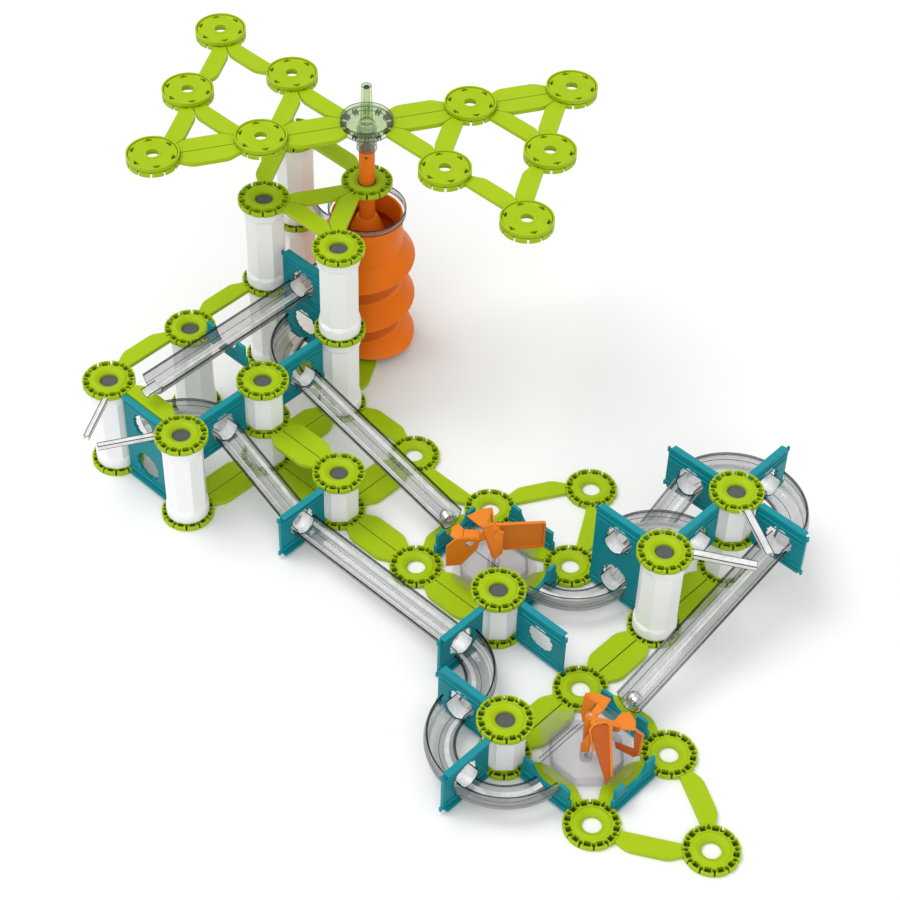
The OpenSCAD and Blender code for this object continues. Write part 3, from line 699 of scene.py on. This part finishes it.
def saddle(shape, p, q, n):
    """Low panel whose top edge cradles a channel."""
    matrix = along(p, q, n * LEVEL)
    middle, top = channel_z(0), 24.5
    reach = math.degrees(math.acos((middle - top) / BALL_WAY_R))
    cradle = circle(BALL_WAY_R, 15, -90 + reach, -90 - reach, (LINK / 2, middle))
    outline = mirrored([(PANEL_END, top), (PANEL_END, 14), (PANEL_TAB, 13), (PANEL_TAB, TAB_FOOT),
                        (PANEL_END, TAB_FOOT), (PANEL_END, PANEL_FOOT)]) + cradle
    shape.add(plate([outline], -WALL_HALF, WALL_HALF), matrix @ STAND)
    shape.add(box(*RAIL, 2.6, 6.1, 2.55, 4.05, 0.25), matrix)
    for z in (5.0, 9.6):
        shape.add(box(*RAIL, -0.75, 0.4, z, z + 1.0, 0.3), matrix)
    for x0, x1 in ((PANEL_END, 36), (LINK - 36, LINK - PANEL_END)):
        shape.add(box(x0, x1, 2.6, 4.3, 9.25, 10.75, 0.25), matrix)


def panels():
    """Teal walls between the posts: low, raised and two-storey ones with holes, and low cradles."""
    short, raised, tall, saddles = Shape(), Shape(), Shape(), Shape()
    for p, q in ((P1, (-2, -1)), (P2, (0, -1)), ((0, -1), P3), (P3, (1, -2)), (P2, F)):
        panel(short, p, q, 0)
    for p, q, n in ((P4, T2, 1), (P7, P4, 1), (T1, T2, 1), (T1, T2, 2), ((0, 2), P6, 1), (P6, (1, 3), 1),
                    (P6, (2, 2), 1), (P5, P6, 1)):
        panel(raised, p, q, n)
    for p, q in ((P7, P8), (D, P5)):
        panel(tall, p, q, 0, 2)
    for p, q, n in ((B, E, 0), (B, D, 0), (D, P2, 0), (G, F, 0), (G, H, 0), (H, P3, 0), (P9, P4, 2)):
        saddle(saddles, p, q, n)
    short.piece("low_walls", "teal_plastic", "frame", ["short_panels"])
    raised.piece("raised_walls", "teal_plastic", "frame", ["raised_panels"])
    tall.piece("tall_walls", "teal_plastic", "frame", ["tall_panels"])
    saddles.piece("cradle_walls", "teal_plastic", "frame", ["saddle_panels"])


# ------------------------------------------------------------- channels

def gutter_profile(radius, wall, lip, steps=18, bank=0.0):
    """Outer and inner line of a half-round gutter seen along its axis, with a lip along both rims."""
    outer = [(-radius - lip, 0.0), (-radius - lip, -0.9)]
    inner = [(-radius + wall, 0.0), (-radius + wall, -0.45)]
    for k in range(1, steps):
        turn = math.pi + math.pi * k / steps
        rail = 0.5 if k in (steps // 2 - 2, steps // 2 + 2) else 0.0
        outer.append((radius * math.cos(turn), radius * math.sin(turn)))
        inner.append(((radius - wall - rail) * math.cos(turn), (radius - wall - rail) * math.sin(turn)))
    outer += [(radius + lip, -0.9), (radius + lip, 0.0)]
    inner += [(radius - wall, -0.45), (radius - wall, 0.0)]
    c, s = math.cos(bank), math.sin(bank)
    return [[(x * c - y * s, x * s + y * c) for x, y in line] for line in (outer, inner)]


# Spans of broad ribs in painted sheen and of narrow ribs in painted dark outline.
BRIGHT_RIBS = [(203, 222), (276, 300)]
DARK_RIBS = [(181, 184.5), (240, 241.8), (318, 320), (355.5, 359)]


def rib_profiles(radius, spans, height, bank=0.0):
    """Outer and inner line of thin ribs that stand on a gutter's inside."""
    profiles = []
    for first, last in spans:
        turns = [math.radians(first + (last - first) * k / 3) + bank for k in range(4)]
        arc = [(math.cos(t), math.sin(t)) for t in turns]
        profiles.append([[(r * x, r * y) for x, y in arc] for r in (radius, radius - height)])
    return profiles


def add_ribs(name, stations, radius, bank=0.0):
    """Ribs along a gutter's inside: broad ones in a painted white sheen as highlights, and narrow ones
    painted dark as outlines.
    """
    bright, dark = Shape(), Shape()
    for profile in rib_profiles(radius - 0.9, BRIGHT_RIBS, 0.3, bank):
        bright.add(sweep(stations, profile))
    for profile in rib_profiles(radius - 0.9, DARK_RIBS, 0.25, bank):
        dark.add(sweep(stations, profile))
    bright.piece(name + "_ribs", "clear_painted_sheen", "frame", slot="clear_plastic")
    dark.piece(name + "_edges", "clear_painted_outline", "frame", slot="clear_plastic")


def straight_gutter(name, replaced, p, q, n0, n1, trim0=END_GAP, trim1=END_GAP):
    """Gutter from site p on level n0 to site q on level n1, each end cut back a little."""
    start, end = site(p), site(q)
    way = (end - start).normalized()
    side = UP.cross(way)
    run = (end - start).length
    z0, z1 = channel_z(n0), channel_z(n1)

    def station(distance):
        middle = start + way * distance + UP * (z0 + (z1 - z0) * distance / run)
        return lambda x, y: middle - side * x + UP * y
    stations = [station(trim0), station(run - trim1)]
    gutter = Shape().add(sweep(stations, gutter_profile(GUTTER_R, 1.0, 0.6)))
    add_ribs(name, stations, GUTTER_R)
    # The gutter's marked rim faces take the painted dark outline.
    gutter.piece(name, "clear_plastic", "frame", [replaced], "clear_painted_outline")


BEND_R = 13.4
BEND_OUT = 2.8
BEND_DROP = 1.6
BEND_BANK = math.radians(35)


def bend_gutter(name, centre, n, start):
    """Banked quarter-turn gutter round a disc."""
    middle = site(centre, channel_z(n) - BEND_DROP)
    trim = math.degrees(math.asin(END_GAP / (LINK / 2 + BEND_OUT - BEND_R)))
    steps = 20

    def station(k):
        turn = math.radians(start + trim + (90 - 2 * trim) * k / steps)
        out = Vector((math.cos(turn), math.sin(turn), 0))
        return lambda x, y: middle + out * (LINK / 2 + BEND_OUT + x) + UP * y
    stations = [station(k) for k in range(steps + 1)]
    gutter = Shape().add(sweep(stations, gutter_profile(BEND_R, 1.0, 0.8, 20, BEND_BANK)))
    # The gutter's marked rim faces take the painted dark outline.
    gutter.piece(name, "clear_plastic", "frame", ["curved_channels"], "clear_painted_outline")
    add_ribs(name, stations, BEND_R, BEND_BANK)


def channels():
    """Every gutter of the run, from the tower down to the two wheels."""
    straight_gutter("tower_gutter", "tower_channel", (-3.5, 1), (-3.5, -0.88), 2, 2, END_GAP, 0)
    straight_gutter("wheel_1_gutter", "wheel_1_channel", (-3, 0.5), (-1, 0.5), 1, 0)
    straight_gutter("wheel_2_gutter", "wheel_2_channel", (1.5, 2), (1.5, 0), 1, 0)
    straight_gutter("front_gutter", "front_channel", (-2, -0.5), (0, -0.5), 0, 0)
    straight_gutter("drop_gutter", "drop_channel", (-3, -0.5), (-2, -0.5), 1, 0)
    straight_gutter("rear_gutter", "rear_channel", (0.5, 1), (0.5, 2), 0, 1)
    straight_gutter("hopper_gutter", "hopper_tray", (-3.5, 1 + ROW - 0.56), (-3.5, 1), 2, 2, 0, END_GAP)
    nose = site((-3.5, -0.88), channel_z(2) - GUTTER_R + 5.6)
    narrow = [lambda x, y, d=d: nose + Vector((x, -d, y)) for d in (-6.0, 8.5)]
    spout = Shape().add(sweep(narrow, gutter_profile(5.0, 0.8, 0.3, 12)))
    # Painted white sheen, with painted dark outlines on the rim faces.
    spout.piece("tower_gutter_nose", "clear_painted_sheen", "frame", second="painted_dark_mark", slot="clear_plastic")
    bends = [((-3, 1), 1, 180), (P7, 1, 90), ((0, -1), 0, 0), (P3, 0, 180), (P3, 0, 270), (D, 0, 270),
             (P5, 1, 90), (P6, 1, 90), (P6, 1, 0)]
    for k, (centre, n, start) in enumerate(bends):
        bend_gutter("bend_%d" % (k + 1), centre, n, start)


def nose_spouts():
    """Narrower spouts that carry a ball through the toothed holes of the panels, in a painted white sheen
    with painted dark outlines on their rims.
    """
    east, west, north, south = (1, 0), (-1, 0), (0, 1), (0, -1)
    spots = [((-2, -0.5), east, 0), ((0, -0.5), east, 0), ((-3, -0.5), east, 1), ((-3.5, 1), south, 2),
             ((0.5, 1), north, 1), ((0.5, 2), north, 1), ((1, 1.5), west, 1), ((1.5, 2), south, 1),
             ((1, -1.5), east, 0), ((-3, 0.5), east, 1), ((1, 2.5), east, 1), ((0.5, -1), south, 0),
             ((0.5, 1), north, 0)]
    for k, (spot, way, n) in enumerate(spots):
        start = site(spot, channel_z(n))
        way = Vector((way[0], way[1], 0))
        side = UP.cross(way)

        def station(distance):
            return lambda x, y: start + way * distance - side * x + UP * y
        spout = Shape().add(sweep([station(-5.5), station(6.5)], gutter_profile(9.8, 0.9, 0.0, 12)))
        # Painted white sheen, with painted dark outlines on the rim faces.
        spout.piece("spout_%d" % (k + 1), "clear_painted_sheen", "frame", second="painted_dark_mark", slot="clear_plastic")


def guide_bars():
    """Clear bars that lean out from a post's top disc to guide a ball, in a painted white sheen, their edges
    outlined with painted dark lines.
    """
    bars = [(P6, -30, -1, -3.2, 3.2, 70), (P5, 30, 1, 0.6, 7.1, 72), (P8, -60, 1, 2.6, 7.1, 67.5),
            (P7, -120, -1, 2.6, 7.1, 67.5)]
    inner = 22.3
    for k, (post, angle, side, y0, y1, end) in enumerate(bars):
        matrix = moved(site(post, 2 * LEVEL), angle) @ Matrix.Diagonal((1, side, 1, 1))
        bar, lines = Shape(), Shape()
        bar.add(box(19.5, 24, 4.4, 6.2, 0.2, 3.6, 0.3), matrix, side < 0)
        bar.add(box(inner, end, y0, y1, 3.2, 4.4, 0.25), matrix, side < 0)
        bar.add(box(inner, end, y0, y0 + 1, 0, 3.2, 0.25), matrix, side < 0)
        bar.add(box(inner, end, y1 - 1, y1, 0, 3.2, 0.25), matrix, side < 0)
        # Painted dark outlines along the clear bar's edges.
        for y in (y0 - 0.15, y1 - 0.45):
            lines.add(box(inner, end, y, y + 0.6, 3.9, 4.6, 0.1), matrix, side < 0)
            lines.add(box(inner, end, y, y + 0.45, 0, 0.45, 0.1), matrix, side < 0)
        lines.add(box(end - 0.35, end + 0.1, y0, y1, 4.1, 4.55, 0.1), matrix, side < 0)
        bar.piece("guide_bar_%d" % (k + 1), "clear_painted_sheen", "frame", ["guide_bars"], slot="clear_plastic")
        lines.piece("guide_bar_%d_edges" % (k + 1), "painted_dark_mark", "frame", slot="clear_plastic")


# ----------------------------------------------------------- lift screw

SCREW_BASE, SCREW_TOP = 8.5, 148.0
SHELL_R, THREAD_R, LEAD = 31.0, 42.0, 45.0
THREAD_END, THREAD_FADE, LEDGE_FADE = 136.0, 12.0, 17.0
SHELL_WALL = 1.8
SLEEVE_R, SLEEVE_Z = 6.9, 219.0
THREAD_Z, THREAD_PHASE, FLARE = 63.0, 44.6, 0.24
THREAD = [(0.0, 0.0), (0.35, 0.96), (0.37, 1.0), (0.39, 0.94), (0.45, 0.06), (0.47, 0.0), (0.84, 0.0)]


def thread_share(u):
    """How far the thread stands out, from 0 to 1, at a share u of the lead below its upper edge."""
    points = THREAD + [(1.0, 0.0)]
    for (u0, s0), (u1, s1) in zip(points, points[1:]):
        if u0 <= u <= u1:
            return s0 + (s1 - s0) * (u - u0) / (u1 - u0)
    return 0.0


def screw_mesh(inset):
    """Shell whose mesh lines run along the thread, so that its edges stay crisp."""
    count = 90
    low_turn, high_turn = -3, 5
    columns = []
    for k in range(count + 1):
        angle = 360.0 * k / count
        head = THREAD_Z + LEAD * ((angle - THREAD_PHASE) / 360 + FLARE)
        line = []
        for turn in range(high_turn, low_turn, -1):
            for u, share in THREAD:
                z = head + (turn - u) * LEAD
                clipped = min(max(z, SCREW_BASE), SCREW_TOP)
                if clipped != z:
                    f = (head - clipped) / LEAD
                    share = thread_share(f - math.floor(f))
                share *= min(max((THREAD_END - clipped) / THREAD_FADE, 0.0), 1.0)
                r = SHELL_R + (THREAD_R - SHELL_R) * share - inset
                t = math.radians(angle)
                line.append((r * math.cos(t), r * math.sin(t), clipped))
        columns.append(line)
    rows = len(columns[0])
    verts = [v for line in columns for v in line]
    faces, ledges = [], []
    for k in range(count):
        for j in range(rows - 1):
            quad = (k * rows + j, k * rows + j + 1, (k + 1) * rows + j + 1, (k + 1) * rows + j)
            zs = [verts[i][2] for i in quad]
            if max(zs) - min(zs) > 0.001:
                # Faces under the thread's crest are painted darker as their shade.
                undercut = j % len(THREAD) in (3, 4, 5)
                if inset == 0 and undercut and min(zs) > SCREW_BASE and max(zs) < THREAD_END - LEDGE_FADE:
                    ledges.append(len(faces))
                faces.append(quad if inset == 0 else quad[::-1])
    return verts, faces, ledges


def screw():
    """Hollow screw whose inner and outer skins are bridged at both ends, and the drum inside it."""
    shell = Shape()
    shell.add(screw_mesh(0))
    shell.add(screw_mesh(SHELL_WALL))
    obj = shell.piece("screw_thread", "orange_plastic", "lift_rotor", ["screw_shell"], "orange_painted_shade", 30)
    mesh = bmesh.new()
    mesh.from_mesh(obj.data)
    bmesh.ops.remove_doubles(mesh, verts=mesh.verts, dist=0.00002)
    loose = [e for e in mesh.edges if e.is_boundary]
    bmesh.ops.bridge_loops(mesh, edges=[e for e in loose if min(v.co.z for v in e.verts) > 0.1])
    bmesh.ops.bridge_loops(mesh, edges=[e for e in mesh.edges if e.is_boundary])
    bmesh.ops.recalc_face_normals(mesh, faces=mesh.faces)
    mesh.to_mesh(obj.data)
    mesh.free()
    obj.data.set_sharp_from_angle(angle=math.radians(26))
    core = Shape()
    profile = [(SLEEVE_R, SCREW_BASE), (15, SCREW_BASE), (15, 131), (9.5, 145), (8.6, 146), (SLEEVE_R, 146)]
    core.add(revolve(profile, 64))
    for z in (10.5, 124):
        for k in range(3):
            core.add(box(12, 28.8, -1.5, 1.5, z, z + 6, 0.3), turned(120 * k + 20))
    core.piece("screw_drum", "orange_plastic", "lift_rotor", ["screw_core"])


def dark_ring(shape, radius, z, depth, height, count):
    """Thin dark line painted round the axis as an outline, just proud of the surface that it outlines."""
    shape.add(band(radius - depth, radius + 0.05, z, z + height, count))


def hub():
    """Clear cap and disc over the shaft, with the handle that turns the rotor, and dark marks painted as the
    shade in sockets and holes and as outlines of clear edges.
    """
    cap = Shape()
    for part in (CAP_RIM, band(CAP_HOLE_R, 20.5, 1.2, 3.4, 64)):
        cap.add(part, Matrix.Translation((0, 0, CAP_Z)))
    cap.piece("hub_cover", "hub_clear", "lift_rotor", ["hub_cap"], slot="clear_plastic")
    marks = Shape()
    # Dark marks painted where the clear disc's sockets show shade.
    for k in range(SOCKETS):
        matrix = Matrix.Translation((0, 0, ROTOR_Z)) @ turned(360 / SOCKETS * (k + 0.5))
        for y in (-1.7, 0.9):
            marks.add(box(16.6, 21.6, y, y + 0.8, 0.3, 4.2, 0.1), matrix)
    disc = Shape().add(band(HOLE_R, DISC_R, 0.3, 4.3, 72), Matrix.Translation((0, 0, ROTOR_Z)))
    disc.piece("hub_disc_body", "hub_clear", "lift_rotor", ["hub_disc"], slot="clear_plastic")
    marks.piece("hub_disc_sockets", "painted_dark_mark", "lift_rotor", slot="clear_plastic")
    # Painted dark outlines round the clear disc and cap.
    edges = Shape()
    for z in (ROTOR_Z + 0.1, CAP_Z + 0.1, CAP_Z + DISC_T - 0.35):
        dark_ring(edges, DISC_R, z, 0.4, 0.4, 72)
    edges.piece("hub_outlines", "painted_dark_mark", "lift_rotor", slot="clear_plastic")
    rod = Shape().add(revolve([(2.6, 246), (5.15, 246), (5.15, 250), (4.5, 282.6), (4.1, 283), (2.8, 283),
                               (2.6, 282)], 32))
    rod.piece("handle", "hub_clear", "lift_rotor", ["handle_rod"], slot="clear_plastic")
    # Painted shade in the handle's bore, and painted dark outlines at the sleeve and handle.
    bore = Shape().add(band(AXIS_R, 2.5, 281, 281.8, 24))
    for z, r in ((SLEEVE_Z, 8.65), (246.2, 5.2), (282.7, 4.0)):
        dark_ring(bore, r, z, 0.35, 0.35, 32)
    bore.piece("handle_bore", "painted_dark_mark", "lift_rotor", slot="clear_plastic")
    collar = Shape().add(band(SLEEVE_R, 8.6, SLEEVE_Z, 239.4))
    collar.piece("hub_sleeve", "clear_plastic", "lift_rotor", ["hub_collar"], slot="clear_plastic")
    shaft = Shape().add(revolve([(3.1, 10), (6.7, 10), (6.8, 10.2), (6.8, 218.6), (6.6, 218.9),
                                 (AXIS_R, 218.9), (AXIS_R, 22), (3.1, 22)], 48))
    shaft.piece("lift_shaft", "orange_plastic", "lift_rotor", ["drive_shaft"])
    stem = Shape().add(band(AXIS_R, 6.6, SLEEVE_Z, 246, 40))
    stem.piece("lift_shaft_top", "hub_clear", "lift_rotor", slot="clear_plastic")
    # Dark mark painted where the shaft's pin hole shows shade.
    pin = Shape().add(box(6.0, 7.0, -1.1, 1.1, 212, 214, 0.15), turned(-50))
    pin.piece("shaft_pin_hole", "painted_dark_mark", "lift_rotor", slot="orange_plastic")


def hopper():
    """Clear bowl round the mouth of the screw and the curved wall of its outlet, both with a painted dark
    outline along the rim.
    """
    bowl = Shape().add(revolve([(32.0, 149.2), (33.0, 149.2), (33.0, 153.2), (34.0, 154.6), (33.0, 155),
                                (32.0, 154)], 90))
    bowl.piece("hopper_wall", "clear_plastic", "frame", ["hopper_ring"])
    rim, chute = Shape(), Shape()
    # Painted dark outline along the bowl's rims and the outlet wall's top.
    rim.add(band(33.2, 33.9, 154.7, 155.4, 90))
    rim.add(band(33.2, 33.7, 149.0, 149.5, 90))
    wall = [(-20.5, -27.5), (-27, -27.3), (-33, -26), (-39, -23.6), (-44.5, -20.6), (-48.5, -18.6),
            (-51.5, -20.5), (-53.8, -25.5), (-56.3, -33)]
    foot, top, half = 138.0, 149.4, 0.45
    for (x0, y0), (x1, y1) in zip(wall, wall[1:]):
        a, b = Vector((x0, y0, 0)), Vector((x1, y1, 0))
        side = (b - a).normalized().cross(UP) * half
        for shape, low, high in ((rim, top, top + 1), (chute, foot, top)):
            shape.add(hull([p + side * k + UP * z for p in (a, b) for k in (-1, 1) for z in (low, high)]))
    rim.piece("hopper_rim", "painted_dark_mark", "frame", slot="clear_plastic")
    chute.piece("hopper_outlet", "clear_plastic", "frame")


# --------------------------------------------------------------- wheels

VANE_HALF = 0.75
RIB_R = 0.95


def facet(shape, points, place, dark=False):
    """Sheet through the given corners, thinner at its edge than in its middle."""
    corners = [Vector(p) for p in points]
    middle = sum(corners, Vector()) / len(corners)
    normal = Vector()
    for a, b in zip(corners, corners[1:] + corners[:1]):
        normal += (a - middle).cross(b - middle)
    normal.normalize()
    solid = []
    for c in corners:
        inward = (middle - c).normalized() * 0.35
        solid += [c + normal * VANE_HALF + inward, c, c - normal * VANE_HALF + inward]
    verts, faces = hull(solid)
    # A sheet flagged dark takes the piece's second look: painted shade.
    shape.add((verts, faces, range(len(faces)) if dark else []), place)


def rib(shape, points, place):
    """Raised rim that runs through the given points."""
    for start, end in zip(points, points[1:]):
        a, b = Vector(start), Vector(end)
        way = (b - a).normalized()
        side = way.cross(UP).normalized() * RIB_R
        top = side.cross(way)
        ends = [a - way * 0.4, b + way * 0.4]
        shape.add(hull([e + side * math.cos(t) + top * math.sin(t) for e in ends
                        for t in (math.pi * (k + 0.5) / 4 for k in range(8))]), place)


WHEEL_1 = {
    "spot": (-0.5, 0.5),
    "deck_lines": [(-28, 38, -5.4, -4.9)],
    "sheets": [
        [(-1, 0.5, 54), (23.5, 33.5, 50), (23.5, 33.5, 22), (3.5, 6.5, 24)],
        [(-1, 0.5, 54), (23.5, 33.5, 50), (25.7, 31.8, 50), (1.2, -1.2, 54)],
        [(3.5, 6.5, 24), (23.5, 33.5, 22), (25.7, 31.8, 22), (5.7, 4.8, 24)],
        [(23.5, 33.5, 50), (23.5, 33.5, 22), (25.7, 31.8, 22), (25.7, 31.8, 50)],
        [(-6.5, -9, 53), (-1, -1.5, 55), (7.5, -7, 23)],
        [(-6.5, -9, 53), (7.5, -7, 23), (1, -8, 32)],
        [(-1, -1.5, 55), (3, -1.5, 51), (8, 1, 49), (10, -1, 28), (7.5, -7, 23)],
        [(-27, -22.5, 47.2), (-26.5, -16, 47.2), (-18.5, -17.5, 47.6), (-13.2, -24.7, 47.2),
         (-17, -29.6, 46.4), (-22.5, -29.5, 46)],
        [(-18.5, -17.5, 47.4), (-13.2, -24.7, 47), (-5, -13.5, 44), (-9, -9, 47)],
        [(-9, -12, 46), (0, 0, 50), (0, 0, 40), (-6, -13, 38)],
        [(-24, -6.5, 51), (-22, 6, 50.4), (-17.5, 15, 49), (-13.5, 10, 50), (-6, -3, 53), (-8.5, -8.5, 53)],
        [(-2, 1, 52), (-17.5, 14.5, 48.5), (-17.5, 14.5, 34), (-2, 1, 34)],
        [(-8.5, -8.5, 53), (-2, -2, 54), (-6, -3, 53), (-1, 2, 53)],
    ],
    "ribs": [
        [(-6.5, -9, 53.3), (-1, -1.5, 55), (3, -1.5, 51.5), (8, 1, 49.5)],
        [(-24, -6.5, 50.6), (-8.5, -8.5, 52.6)],
    ],
    "dark": [],
    "hub": 53,
}
WHEEL_2 = {
    "spot": (1.5, -0.5),
    "deck_lines": [(-15.6, -15.1, -38, 16), (-18.9, -18.4, -34, 12)],
    "sheets": [
        [(7.5, -8, 48), (8, -5.5, 51), (10, -1, 52), (14, 3, 51), (16, 3.5, 50), (33.5, -12, 21),
         (35.5, -19, 16), (17, -11.5, 34)],
        [(6.5, -8, 44), (2, -11.5, 30), (3.5, -12, 22), (8.5, -8, 22), (10, -9.5, 36)],
        [(14, 11, 48), (13, 21, 48), (17.5, 25.5, 48), (26, 22.5, 48), (30, 17.5, 46.5), (22.5, 10, 48)],
        [(29.5, 18, 46.5), (34.5, 21, 41), (36.5, 18, 20), (33.5, 15, 18), (31, 15.5, 36)],
        [(34, 16, 26), (34, 15, 18), (20.5, 8, 24), (19, 8, 30)],
        [(14, 11, 48), (22.5, 10, 48), (21, 9.5, 42), (15, 9.5, 38)],
        [(-18.5, 16, 48), (-10.5, 22.5, 48), (0, 24, 49.5), (3.5, 12, 51), (-6.5, 13.5, 50)],
        [(-18.5, 16, 48), (-18, 12, 30), (-14, 10.5, 22), (-7.5, 10, 22), (-9, 12, 36), (-6.5, 13.5, 50)],
        [(-4, 13.5, 50.5), (3.5, 12, 51), (2.5, 1, 49), (-2.5, 1, 49)],
        [(0, 0, 52), (14, 11, 48), (22, 10, 47.5), (3, -2.5, 51)],
        [(0, 0, 52), (9, -2, 51.5), (9, -7, 48), (0, 0, 40)],
    ],
    "ribs": [
        [(15.5, -12.5, 35), (7, -8.5, 48.5), (7.5, -5.5, 52), (9.5, -1, 53.6), (13.5, 3.6, 52.6),
         (16.5, 3.8, 50.6), (34.3, -12, 21)],
        [(-6.5, 13.3, 50.4), (-9.2, 11.6, 38), (-7.6, 9.6, 23)],
        [(22.5, 9.8, 48), (30.2, 17.2, 46.6), (35.2, 20.8, 41), (36, 17.3, 20)],
    ],
    # These sheets are painted darker orange as shade.
    "dark": [0, 3, 4],
    "hub": 52,
}


WHEELS = {1: WHEEL_1, 2: WHEEL_2}


def flap():
    """Upright flap with a hole through it, drawn in its own plane."""
    outline = [(0, 14.7), (12.8, 14.7), (25.7, 33), (27.3, 44), (13.4, 47.4), (7.2, 46.6), (0, 39)]
    return plate([outline, circle(3.4, 28, middle=(19, 39.4))], -0.8, 0.8)


def wheels():
    """Paddle wheels whose scoops turn when a ball lands in them."""
    for index, parts in WHEELS.items():
        place = moved(site(parts["spot"]))
        scoops = Shape()
        for number, points in enumerate(parts["sheets"]):
            facet(scoops, points, place, number in parts["dark"])
        for points in parts["ribs"]:
            rib(scoops, points, place)
        top = parts["hub"]
        scoops.add(revolve([(1.7, 15.8), (2.6, 15.8), (4.2, 24), (4.2, top - 1), (3.6, top), (1.7, top)], 32),
                   place)
        if index == 1:
            upright = Matrix.Rotation(math.radians(90), 4, "X")
            scoops.add(flap(), moved(site(parts["spot"]) + Vector((-21.3, -35.0, 0)), 51.5) @ upright)
        name = "wheel_%d" % index
        # Flagged sheets take the darker orange of painted shade.
        scoops.piece(name + "_scoops", "orange_vane", name, [name + "_vanes"], "orange_painted_deep_shade", 40,
                     "orange_plastic")


def wheel_decks():
    """Clear deck under each wheel, with dark lines painted along it as the outlines of its clear rim."""
    low, high = 12.9, 13.4
    for index, parts in WHEELS.items():
        base = frame["nodes"]["wheel_%d_base" % index]
        base.data.materials.clear()
        base.data.materials.append(LOOKS["deck_clear"])
        lines = Shape()
        # Painted dark outlines on the clear deck.
        for x0, x1, y0, y1 in parts["deck_lines"]:
            lines.add(box(x0, x1, y0, y1, low, high, 0.1), moved(site(parts["spot"])))
        lines.piece("wheel_%d_deck_line" % index, "painted_dark_mark", "frame", slot="clear_plastic")


all_discs()
rotor_caps()
all_beams()
columns()
panels()
channels()
nose_spouts()
guide_bars()
screw()
hub()
hopper()
wheels()
wheel_decks()


# ---------------------------------------------------------------- stage

def pale_floor():
    """Matt floor under the object."""
    bpy.ops.mesh.primitive_plane_add(size=12)
    floor = bpy.context.object
    floor.name = "floor"
    n = Nodes("floor")
    body = n.add("ShaderNodeBsdfPrincipled")
    body.inputs["Base Color"].default_value = (0.86, 0.86, 0.86, 1)
    body.inputs["Roughness"].default_value = 0.7
    n.link(body.outputs["BSDF"], n.out.inputs["Surface"])
    floor.data.materials.append(n.material)


def soft_light(name, way, spread, strength):
    """Distant light that comes from the given direction, its shadows softened by its angular size."""
    light = bpy.data.lights.new(name, "SUN")
    light.angle = math.radians(spread)
    light.energy = strength
    obj = bpy.data.objects.new(name, light)
    bpy.context.scene.collection.objects.link(obj)
    obj.rotation_mode = "QUATERNION"
    obj.rotation_quaternion = (-Vector(way)).to_track_quat("-Z", "Y")


def studio():
    """Even white surroundings, a key light and a fill light."""
    scene = bpy.context.scene
    world = bpy.data.worlds.new("studio")
    world.use_nodes = True
    world.node_tree.nodes["Background"].inputs["Color"].default_value = (1, 1, 1, 1)
    world.node_tree.nodes["Background"].inputs["Strength"].default_value = 0.68
    scene.world = world
    soft_light("key", (-0.94, -0.45, 2.2), 35, 1.3)
    soft_light("fill", (0.8, -0.88, 1.3), 60, 0.8)
    scene.view_settings.view_transform = "Standard"


CAMERA = {"azimuth": -47.796, "elevation": 45.933, "roll": 1.943, "distance": 1.7601,
          "target": (0.2095, -0.1142, 0.09), "lens": 86.825}


def camera():
    """Camera on a line through its target, turned a little about that line."""
    azimuth, elevation, roll = (math.radians(CAMERA[k]) for k in ("azimuth", "elevation", "roll"))
    back = Vector((math.cos(azimuth) * math.cos(elevation), math.sin(azimuth) * math.cos(elevation),
                   math.sin(elevation)))
    level = Vector((-math.sin(azimuth), math.cos(azimuth), 0))
    up = back.cross(level)
    right = math.cos(roll) * level + math.sin(roll) * up
    top = back.cross(right)
    data = bpy.data.cameras.new("camera")
    data.lens = CAMERA["lens"]
    obj = bpy.data.objects.new("camera", data)
    bpy.context.scene.collection.objects.link(obj)
    turn = Matrix((right, top, back)).transposed().to_4x4()
    obj.matrix_world = Matrix.Translation(Vector(CAMERA["target"]) + back * CAMERA["distance"]) @ turn
    bpy.context.scene.camera = obj


pale_floor()
studio()
camera()
